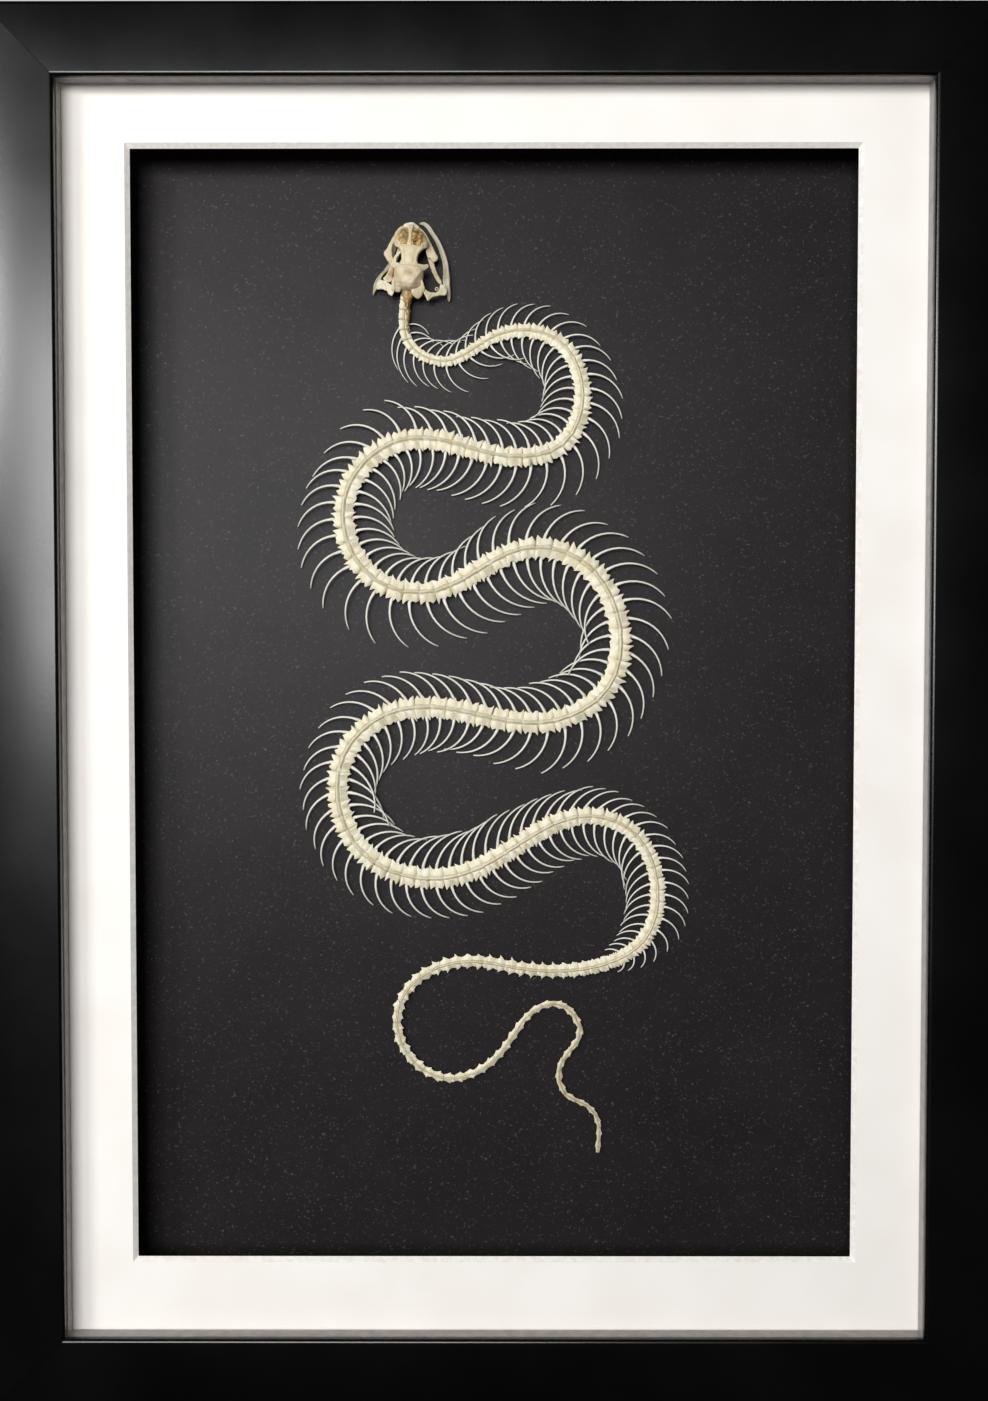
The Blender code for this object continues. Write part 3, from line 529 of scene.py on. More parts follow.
def makeMatBoard():
    # Four rings of corners joined by walls: outer edge front and back, then the window's back and front.
    # The two cut edges show the core.
    low, high = nodeBox("mat_board")
    middle = (low + high) / 2
    signs = np.array([(-1, -1), (1, -1), (1, 1), (-1, 1)])
    window = np.array(matBoard["window"])
    rings = []
    for size, y, shift in (
        (high[[0, 2]] - low[[0, 2]], low[1], (0, 0)), (high[[0, 2]] - low[[0, 2]], high[1], (0, 0)),
        (window, high[1], matBoard["windowShift"]),
        (window + 2 * matBoard["thickness"], low[1], matBoard["windowShift"]),
    ):
        place = middle[[0, 2]] + shift + signs * size / 2
        rings.append(np.stack([place[:, 0], np.full(4, y), place[:, 1]], -1))
    corner = np.arange(4)
    beside = (corner + 1) % 4
    walls = [np.stack([corner + 4 * i, beside + 4 * i, beside + 4 * j, corner + 4 * j], -1)
             for i, j in ((0, 1), (1, 2), (2, 3), (3, 0))]
    makePiece("matBoard", [{"points": np.concatenate(rings), "faces": walls, "coats": [1, 0, 1, 0]}],
              [finishes["paper"], finishes["core"]], ["mat_board"], smooth=False)


makeMatBoard()
print("mat board made")


# Rear fittings

hanger = {
    "plate": 0.8,            # thickness of the sheet
    "teeth": 15,
    "toothDepth": 1.6,
    "toothed": 0.62,         # share of the length that has teeth
    "roundFrom": 0.93,       # share of the half length past which an end is rounded
    "nailHead": 1.6,         # radius
    "nailsAt": 0.84,         # share of the half length
}

tab = {
    "sheet": 0.3,            # thickness
    "width": 0.62,           # share of the solid's width
    "roundFrom": 0.3,        # where its sides start to draw in, from -1 at the outer end to 1 at the tip
    "bow": 0.9,              # share of the height left over the board
}


def turnedSolid(centre, profile, corners=20):
    # A profile of (radius, y) turned round a line through centre that runs along Y.
    turn = np.linspace(0, 2 * np.pi, corners, endpoint=False)
    radius, y = np.array(profile).T
    x = centre[0] + radius[:, None] * np.cos(turn)
    z = centre[2] + radius[:, None] * np.sin(turn)
    return closedTubes(np.stack([x, np.broadcast_to(y[:, None], x.shape), z], -1)[None])


def makeHanger():
    # A strip carried along X, whose lower edge rises and falls in a saw's zigzag over its middle part,
    # with a domed nail near each end.
    low, high = nodeBox("wall_hanger")
    middle, half = (low + high) / 2, (high - low) / 2
    share = np.linspace(-1, 1, 241)
    saw = np.abs((share / hanger["toothed"] * hanger["teeth"] / 2) % 1 - 0.5) * 2
    cut = np.where(np.abs(share) < hanger["toothed"], hanger["toothDepth"] * saw, 0.0)
    past = np.clip((np.abs(share) - hanger["roundFrom"]) / (1 - hanger["roundFrom"]), 0, 1)
    rounded = 0.8 * half[2] * (1 - np.sqrt(np.clip(1 - past**2, 0.02, 1)))
    x = middle[0] + share * half[0]
    bottom, top = low[2] + cut + rounded, high[2] - rounded
    back = low[1] + hanger["plate"]
    rings = np.stack([
        np.stack([x, np.full_like(x, y), z], -1)
        for y, z in ((low[1], bottom), (low[1], top), (back, top), (back, bottom))
    ], axis=1)
    head = hanger["nailHead"]
    nail = [(0.9 * head, low[1] + 0.2), (head, back), (0.95 * head, back + 0.08),
            (0.6 * head, high[1] - 0.02), (0.2, high[1])]
    nails = [turnedSolid((middle[0] + side * hanger["nailsAt"] * half[0], 0, middle[2]), nail)
             for side in (-1, 1)]
    makePiece("sawtoothHanger", [closedTubes(rings[None]), *nails], [finishes["steel"]],
              ["wall_hanger"], crease=30)


def makeTab(number):
    # A leaf of spring steel: its long edges draw in to a rounded end that lies on the board, and it
    # bows up off the board between its ends.
    low, high = nodeBox(f"rear_tab_{number}")
    middle, half = (low + high) / 2, (high - low) / 2
    outward = middle - [0, 0, pictureMiddle]
    length = 0 if half[0] < half[2] else 2         # the axis it runs along
    width = 2 - length
    share = np.linspace(-1, 1, 25)
    past = np.clip((share - tab["roundFrom"]) / (1.01 - tab["roundFrom"]), 0, 1)
    along = middle[length] - math.copysign(1, outward[length]) * share * half[length]
    across = half[width] * tab["width"] * (0.1 + 0.9 * np.sqrt(1 - past**2))
    bow = (high[1] - low[1] - tab["sheet"] - 0.02) * (1 - share**2) * tab["bow"]
    corners = []
    for side, y in ((-1, 0.0), (1, 0.0), (1, tab["sheet"]), (-1, tab["sheet"])):
        place = {length: along, width: middle[width] + side * across, 1: low[1] + bow + y}
        corners.append(np.stack([place[0], place[1], place[2]], -1))
    makePiece(f"springTab{number}", [closedTubes(np.stack(corners, axis=1)[None])], [finishes["steel"]],
              [f"rear_tab_{number}"], crease=30)


cardLow, cardHigh = nodeBox("backing_card")
cardFace = cardLow[1]
pictureMiddle = (cardLow[2] + cardHigh[2]) / 2
makeHanger()
for number in range(1, 7):
    makeTab(number)
print("rear fittings made")


# Backbone

backbone = {
    # the line from the nape to the tail's tip, as (x, z)
    "route": [
        (-20.9, 101.0), (-20.0, 88.0), (-12.5, 84.5), (0.5, 90.5), (15.5, 89.0), (21.0, 73.5),
        (16.5, 64.5), (-2.5, 62.5), (-9.5, 64.5), (-23.0, 65.0), (-36.0, 51.0), (-28.5, 31.8),
        (-14.0, 29.3), (7.5, 39.3), (22.0, 35.5), (27.8, 6.5), (13.0, -2.4), (-14.0, 1.0),
        (-25.5, -0.5), (-36.5, -11.0), (-32.0, -34.0), (-8.4, -39.6), (22.5, -25.4), (33.0, -28.8),
        (37.0, -54.8), (19.5, -63.0), (6.0, -62.6), (-5.0, -61.0), (-15.5, -63.3), (-22.0, -69.2),
        (-23.8, -76.2), (-19.6, -85.8), (-12.0, -89.8), (-4.4, -88.3), (2.0, -83.0), (8.4, -74.4),
        (12.0, -72.1), (16.0, -71.9), (19.6, -74.8), (20.8, -78.7), (16.4, -86.4), (15.9, -90.1),
        (18.0, -94.3), (22.2, -96.6), (25.2, -100.3), (25.6, -104.6), (25.1, -110.5),
    ],
    # (distance along the line, value), read off in straight lines between
    "vertebraLength": [(0, 2.1), (16, 2.55), (28, 2.9), (60, 3.2), (110, 3.55), (200, 3.87),
                       (300, 3.75), (370, 3.4), (425, 2.95), (455, 2.4), (480, 2.65), (540, 2.75),
                       (570, 3.0), (617, 3.1)],
    "halfWidth": [(0, 1.5), (14, 1.38), (25, 1.58), (50, 2.1), (72, 2.6), (100, 2.9), (135, 3.02),
                  (350, 3.02), (385, 2.85), (405, 2.45), (430, 2.1), (450, 2.15), (470, 2.18), (490, 1.95),
                  (510, 1.6), (560, 1.12), (617, 0.72)],
    "neckRise": [(0, 1.8), (14, 0.0)],
    "firstVertebra": 0.3,
    "lastTrunkVertebra": 454.0,
    "neckVertebrae": 14,
    "perLength": 20,         # vertebrae in one piece of trunk or tail, about
    "rest": 0.3,             # of the lowest point, above the card
}

vertebraShape = {
    # share of the length, reach of the edge, its lift, top of the arch, top of the spine (in half widths)
    "trunk": [
        (0.00, 0.74, 0.64, 0.98, 1.08), (0.11, 1.00, 0.76, 1.00, 1.13), (0.22, 0.80, 0.76, 1.03, 1.18),
        (0.40, 0.70, 0.72, 1.05, 1.21), (0.52, 0.90, 0.72, 1.06, 1.23), (0.66, 0.74, 0.76, 1.07, 1.24),
        (0.86, 0.92, 0.86, 1.06, 1.19), (1.06, 0.60, 0.64, 0.97, 1.07),
    ],
    "tail": [
        (0.00, 0.62, 0.66, 0.96, 1.06), (0.16, 0.64, 0.70, 1.00, 1.13), (0.34, 0.76, 0.72, 1.04, 1.19),
        (0.48, 1.00, 0.70, 1.07, 1.22), (0.60, 0.78, 0.74, 1.08, 1.24), (0.74, 0.66, 0.80, 1.08, 1.23),
        (0.90, 0.62, 0.84, 1.04, 1.16), (1.06, 0.54, 0.64, 0.95, 1.06),
    ],
    "tailBlend": (446.0, 24.0),      # where the trunk's shape starts to turn into the tail's, and over what
    "processBack": (-0.07, 0.12),    # how far back the side process points, in the trunk and in the tail
    # in half widths
    "spine": 0.16,                   # half thickness of the spine's foot
    "groove": (0.07, 0.03),          # beside that foot: its width, and half of its rise to the arch
    "underside": (0.62, 0.3, 0.04),  # share of the edge's reach, drop below the edge, height of the keel
    # the first vertebrae have a nearly even edge: up to where, fading over, its reach, share of evening
    "evenNeck": (16.0, 6.0, 0.86, 0.8),
    # how much single vertebrae differ: shares of their size, and radians that they are turned
    "strays": {"size": 0.015, "spine": 0.12, "edge": 0.06, "along": 0.012, "turned": 0.03},
    # painted shade in the grooves at the spine's foot:
    "footShade": (0.5, 0.8),         # in the trunk and in the tail
    # the stain along the whole body: brown at the nape, and painted shade that darkens the tail's tip
    "agedAndShaded": [(0, 0.2), (16, 0.0), (535, 0.0), (600, 0.36)],
    # painted shade at the seams where one vertebra meets the next
    "seamShade": (0.1, 0.03, 0.0, 0.0, 0.0, 0.0, 0.0, 0.05),     # at each station
}


def readOff(table, distance):
    # A table's value at the distance, in straight lines between its rows.
    places, values = np.array(table).T
    return np.interp(distance, places, values)


def onCard(x, z, lift):
    # A place on the card, with its lift off it, as the script's own x, y and z.
    return np.stack(np.broadcast_arrays(x, cardFace - lift, pictureMiddle + z), axis=-1)


routeLine = splineThrough(backbone["route"], 3000)
travelled = np.concatenate([[0.0], np.cumsum(np.linalg.norm(np.diff(routeLine, axis=0), axis=1))])
slope = np.gradient(routeLine, travelled, axis=0)
heading = np.unwrap(np.arctan2(slope[:, 1], slope[:, 0]))


def fromVertebra(along, left, back, lift):
    # A place given from the vertebra at along: out to the snake's left, and back towards its tail.
    turn = np.interp(along, travelled, heading)
    x = np.interp(along, travelled, routeLine[:, 0]) + left * np.sin(turn) + back * np.cos(turn)
    z = np.interp(along, travelled, routeLine[:, 1]) - left * np.cos(turn) + back * np.sin(turn)
    return onCard(x, z, lift)


def vertebraStarts():
    # Where each vertebra begins; the last one takes what is left of the line.
    starts = [backbone["firstVertebra"]]
    while starts[-1] + 2 * readOff(backbone["vertebraLength"], starts[-1]) < travelled[-1]:
        starts.append(starts[-1] + float(readOff(backbone["vertebraLength"], starts[-1])))
    return np.array(starts)


def makeVertebrae(name, node, starts):
    # Each vertebra is a tube along the body. The corners of a ring go from the spine's top to its foot,
    # over the arch to the side process, and back underneath to the keel; the other half mirrors it.
    count = len(starts)
    strays = vertebraShape["strays"]
    length = readOff(backbone["vertebraLength"], starts)
    half = readOff(backbone["halfWidth"], starts) * (1 + chance.normal(0, strays["size"], count))
    tailFrom, tailOver = vertebraShape["tailBlend"]
    tail = np.clip((starts - tailFrom) / tailOver, 0, 1)[:, None]
    trunkShape, tailShape = (np.array(vertebraShape[key]) for key in ("trunk", "tail"))
    shape = trunkShape + (tailShape - trunkShape) * tail[..., None]       # [vertebra, station, column]
    share, reach, edge, arch, spine = np.moveaxis(shape, -1, 0)
    until, fading, evenReach, evening = vertebraShape["evenNeck"]
    reach = reach + (evenReach - reach) * np.clip((until - starts) / fading, 0, evening)[:, None]
    thin = vertebraShape["spine"] * (1 + chance.normal(0, strays["spine"], reach.shape))
    trunkFootShade, tailFootShade = vertebraShape["footShade"]
    nothing = np.zeros_like(reach)
    footShade = nothing + trunkFootShade + (tailFootShade - trunkFootShade) * tail
    groove, rise = vertebraShape["groove"]
    inward, drop, keel = vertebraShape["underside"]
    # top and foot of the spine, the arch beside it, the side process, the underside and the keel
    left = np.stack([nothing, thin, thin + groove, reach, reach * inward, nothing], -1)
    lift = np.stack([spine, arch - rise, arch + rise, edge, edge - drop, nothing + keel], -1)
    # Painted shade: the spine's foot, and the underside down to the keel, are darkened.
    stain = np.stack([nothing, footShade, nothing + 0.05, nothing, nothing + 0.5, nothing + 1], -1)
    left, lift, stain = (np.concatenate([each, each[..., 4:0:-1] * mirror], -1)
                         for each, mirror in ((left, -1), (lift, 1), (stain, 1)))
    left = left * (1 + chance.normal(0, strays["edge"], left.shape))
    trunkBack, tailBack = vertebraShape["processBack"]
    pushed = chance.normal(0, strays["along"], left.shape)
    pushed[:, 1, [3, 7]] += trunkBack * (1 - tail)         # both side processes, at the trunk's station
    pushed[:, 3, [3, 7]] += tailBack * tail                # and at the tail's
    back = (share[..., None] - 0.5 + pushed) * length[:, None, None]
    half = half[:, None, None]
    roll, turn = chance.normal(0, strays["turned"], (2, count, 1, 1))
    left = left * half + back * turn
    lift = lift * half + left * roll * 0.6
    along = (starts + 0.5 * length)[:, None, None]
    rest = backbone["rest"] + readOff(backbone["neckRise"], along)
    # Painted shade also darkens the seams between vertebrae and the tail's tip; the brown at the nape is the
    # bone's own.
    agedAndShaded = readOff(vertebraShape["agedAndShaded"], starts)[:, None, None]
    seam = np.reshape(vertebraShape["seamShade"], (1, -1, 1))
    stain = np.clip(stain + seam + agedAndShaded, 0, 1)
    shell = closedTubes(fromVertebra(along, left, back, rest + lift), stain=stain)
    makePiece(name, [shell], [finishes["vertebra"]], [node], crease=70)


starts = vertebraStarts()
firstTrunk = backbone["neckVertebrae"]
firstTail = int((starts <= backbone["lastTrunkVertebra"]).sum())
lengths = [("neck", 0, firstTrunk)]
for region, first, last in (("trunk", firstTrunk, firstTail), ("tail", firstTail, len(starts))):
    count = round((last - first) / backbone["perLength"])
    cuts = [first + round(i * (last - first) / count) for i in range(count + 1)]
    lengths += [(f"{region}_{i}", low, high) for i, (low, high) in enumerate(zip(cuts, cuts[1:]), start=1)]
for node, first, last in lengths:
    makeVertebrae(f"{node.replace('_', '')}Vertebrae", node, starts[first:last])
print(len(starts), "vertebrae made")


# Ribs

ribs = {
    "first": 6.0,
    "last": 454.0,
    # (distance along the backbone, from its middle to the rib's tip, degrees that the tip lies back)
    "left": [
        (6, 10.5, 80), (10, 11.3, 78), (13, 10.0, 68), (16, 8.4, 57), (18.5, 7.9, 43), (22, 9.0, 32),
        (25, 9.0, 36), (28.5, 8.7, 45), (31.5, 9.2, 45), (36, 9.8, 28), (45, 10.6, 16),
        (55, 11.2, 22), (66, 10.8, 18), (77, 11.2, 14), (84, 11.8, 30), (92, 12.3, 43), (104, 11.9, 58),
        (112, 11.6, 52), (117, 12.4, 34), (130, 12.9, 56), (137, 12.2, 40), (145, 13.3, 28),
        (155, 14.2, 16), (173, 14.8, 36), (190, 15.8, 20), (205, 15.6, 25), (217, 15.2, 35),
        (223, 13.8, 42), (245, 13.7, 23), (255, 13.3, 28), (265, 13.3, 43), (275, 13.2, 54),
        (290, 13.2, 57), (303, 12.5, 50), (317, 12.0, 54), (330, 12.1, 46), (356, 12.2, 41),
        (375, 12.2, 30), (400, 11.6, 20), (417, 12.4, 35), (430, 10.2, 35), (440, 8.5, 31),
        (451, 5.1, 43), (455, 3.5, 45),
    ],
    "right": [
        (6, 5.6, 20), (8, 6.2, 24), (11, 7.6, 32), (15, 9.0, 40), (19, 9.7, 45), (24, 8.7, 54),
        (30, 9.0, 57), (36, 8.8, 50), (45, 9.1, 47), (52, 9.8, 54),
        (63, 11.8, 40), (77, 13.2, 39), (88, 13.8, 37), (97, 13.5, 33), (104, 13.2, 23), (113, 12.0, 15),
        (124, 11.4, 9), (131, 13.4, 13), (141, 13.2, 20), (151, 12.8, 25), (160, 12.2, 27),
        (170, 12.0, 37), (180, 12.4, 47), (208, 13.9, 46), (222, 14.7, 37), (229, 14.6, 33),
        (234, 14.3, 48), (241, 14.1, 50), (250, 13.9, 42), (262, 14.3, 37), (270, 13.7, 44),
        (280, 13.2, 42), (287, 12.4, 26), (297, 12.0, 12), (310, 14.1, 30), (322, 14.2, 37),
        (330, 14.8, 36), (338, 12.7, 27), (348, 12.0, 29), (358, 14.3, 34), (366, 15.2, 42),
        (376, 13.8, 46), (386, 13.3, 62), (395, 12.6, 70), (411, 9.0, 56), (421, 9.3, 46),
        (430, 9.0, 34), (439, 8.7, 28), (451, 4.9, 42), (455, 3.5, 42),
    ],
    "halfTurn": 40.0,        # degrees that a rib turns on either side of its chord
    "uneven": (0.02, 2.0),   # share of its reach, and degrees that it lies back, by which a rib differs
    "root": 0.4,             # half widths from the backbone's middle
    "behind": 0.45,          # share of its vertebra's length in front of it
    "fullHalfWidth": 3.15,   # of a vertebra whose ribs have the full radius and lift
    # by the share of a rib's length
    "radius": [(0, 0.5), (0.12, 0.44), (0.22, 0.31), (0.4, 0.27), (1, 0.18)],
    # darker at the root, where the rib meets its vertebra, as painted shade, and a little darker at the tip
    "stain": [(0, 0.4), (0.12, 0.05), (0.4, 0.0), (1, 0.15)],
    "liftsAt": (0, 0.18, 0.36, 0.53, 0.7, 0.86, 1),      # where ribLine gives its lift
    # a rib takes the first share of its reach, and the first lift of its tip, that clear its neighbours
    "reaches": (1.0, 0.97, 0.93, 0.88, 0.82, 0.75, 0.65, 0.55),
    "tipLifts": (0.5, 0.85, 1.2, 1.6, 2.0, 2.4, 2.9, 3.4),
    "neighbours": 5,         # behind it
    "clearance": 0.03,
    "stations": 11,
    "corners": 6,
}


def ribLine(along, side, number, reach, tipLift, shares):
    # The middle of a rib: an arc that leaves its vertebra outwards and turns back along the body. It
    # stands up off the vertebra's flank, and comes down towards the card over its outer half. The sines
    # of its number stand in for chance, so that a rib is the same each time it is tried.
    places, spans, sweeps = np.array(ribs["left" if side == 1 else "right"]).T
    longer, further = (ribs["uneven"][i] * math.sin(2.4 * n + 1.7 * side) * math.cos(0.9 * n * side + 0.4)
                       for i, n in enumerate((number, number + 5)))
    span = np.interp(along, places, spans) * (1 + longer) * reach
    sweep = math.radians(np.interp(along, places, sweeps) + further)
    half = readOff(backbone["halfWidth"], along)
    root = ribs["root"] * half
    out, back = span * math.cos(sweep) - root, span * math.sin(sweep)
    turn = math.radians(ribs["halfTurn"])
    begin = math.atan2(back, out) - turn
    radius = math.hypot(out, back) / (2 * math.sin(turn))
    here = begin + 2 * turn * shares
    rest, scale = backbone["rest"], half / ribs["fullHalfWidth"]
    outer = rest + 1.45 * scale
    raised = max(tipLift - outer, 0)
    lift = np.interp(shares, ribs["liftsAt"], (
        1.6 * scale,
        rest + 1.95 * scale,
        rest + 2.05 * scale + 0.25 * raised,
        rest + 1.85 * scale + 0.5 * raised,
        outer + 0.6 * raised,
        0.5 * outer + 0.5 * tipLift + 0.2 * raised,
        tipLift,
    ))
    middle = fromVertebra(along, side * (root + radius * (np.sin(here) - math.sin(begin))),
                          radius * (math.cos(begin) - np.cos(here)), lift)
    aside = fromVertebra(along, side * -np.sin(here), np.cos(here), 0) - fromVertebra(along, 0, 0, 0)
    return middle, aside


def ribRadius(along, shares):
    # Thick at the root, thin at the tip, and thinner where the body is slim.
    scale = readOff(backbone["halfWidth"], along) / ribs["fullHalfWidth"]
    return readOff(ribs["radius"], shares) * (0.2 + 0.8 * scale)


def fitRib(along, side, number, others):
    # The longest rib that passes over its neighbours, with its tip as near the card as they allow.
    shares = np.linspace(0.1, 1, 26)
    radius = ribRadius(along, shares)
    for reach in ribs["reaches"]:
        for tipLift in ribs["tipLifts"]:
            line = ribLine(along, side, number, reach, tipLift, shares)[0]
            gaps = (np.linalg.norm(line[:, None] - other[None], axis=2) - radius[:, None] - beside[None]
                    for other, beside in others)
            if min((gap.min() for gap in gaps), default=math.inf) > ribs["clearance"]:
                return reach, tipLift, (line, radius)
    return reach, tipLift, (line, radius)


def makeRibs():
    # Fitted from the tail forwards, each over the ones behind it, towards which it leans.
    shares = np.linspace(0, 1, ribs["stations"]) ** 0.9
    turn = np.linspace(0, 2 * np.pi, ribs["corners"], endpoint=False)[None, :, None]
    offCard = np.array([0.0, -1.0, 0.0])
    lines, rings = {}, {}
    for number in range(len(starts) - 1, -1, -1):
        start = starts[number]
        if not ribs["first"] <= start <= ribs["last"]:
            continue
        along = start + ribs["behind"] * readOff(backbone["vertebraLength"], start)
        for side in (1, -1):
            near = ((number + step, side) for step in range(1, ribs["neighbours"] + 1))
            others = [lines[rib] for rib in near if rib in lines]
            reach, tipLift, lines[number, side] = fitRib(along, side, number, others)
            middle, aside = ribLine(along, side, number, reach, tipLift, shares)
            radius = ribRadius(along, shares)[:, None, None]
            around = np.cos(turn) * aside[:, None] + np.sin(turn) * offCard
            rings[number, side] = middle[:, None] + radius * around
    stain = readOff(ribs["stain"], shares)[None, :, None]
    for node, first, last in lengths:
        own = [(number, side) for number in range(first, last) for side in (1, -1)]
        own = [rings[rib] for rib in own if rib in rings]
        if own:
            makePiece(f"{node.replace('_', '')}Ribs", [closedTubes(np.array(own), stain=stain)],
                      [finishes["rib"]], [node])
    return len(rings)


print(makeRibs(), "ribs made")


# Skull

skull = {
    "nape": (-21.3, 99.9),   # on the card
    "lean": 5.9,             # degrees to the right
    # hulls, from the rear forwards: (forward, left edge, right edge, low, high)
    "roof": [
        (0.75, -1.5, 2.2, 3.0, 4.9), (1.05, -2.4, 3.4, 2.6, 5.5), (1.5, -2.95, 4.0, 2.4, 5.9),
        (2.4, -3.1, 4.1, 2.3, 6.2), (4.0, -3.15, 3.9, 2.3, 6.35), (5.2, -3.2, 3.9, 2.3, 6.3),
        (5.95, -2.85, 3.6, 2.6, 6.2), (6.6, -2.15, 2.85, 3.3, 6.1), (7.4, -1.7, 2.3, 3.9, 6.0),
        (8.7, -1.8, 2.25, 4.0, 5.85), (9.8, -2.2, 2.65, 3.9, 5.65), (10.7, -2.8, 3.4, 3.7, 5.4),
        (11.3, -2.95, 3.6, 3.6, 5.15), (11.75, -2.5, 3.1, 3.6, 4.95),
    ],
    "nose": [
        (11.1, -2.9, 3.5, 3.0, 4.95), (12.0, -3.45, 3.9, 2.7, 5.0), (13.2, -3.6, 3.75, 2.5, 4.85),
        (14.4, -3.2, 3.2, 2.4, 4.5), (15.4, -2.5, 2.2, 2.3, 4.0), (16.2, -1.4, 1.0, 2.3, 3.5),
    ],
    # the crown's flat table: its middle, its half width at the rear, its widening, the fall beside it
    "crown": (0.4, 0.25, 0.62, 0.6),
    # marks on the roof: place and width, from the crown's middle and forwards
    "dent": ((0.3, 1.1), (4.6, 0.8)),
    "suture": (6.3, 0.13),           # forwards
    "nuchal": (1.5, 0.16),           # forwards, of the groove across the back
    "seam": (0.3, 0.1),              # to the right of the nape, between the frontals
    "frontals": (7.0, 0.8),          # where they start, and over what length they take over
    # the nose's two lobes: middle and half width of each; then their place forwards and half length
    "lobes": ((-1.6, 1.25), (1.55, 1.4)),
    "lobesForward": (13.1, 2.05),
    "uneven": 0.05,          # height of the low bumps
}

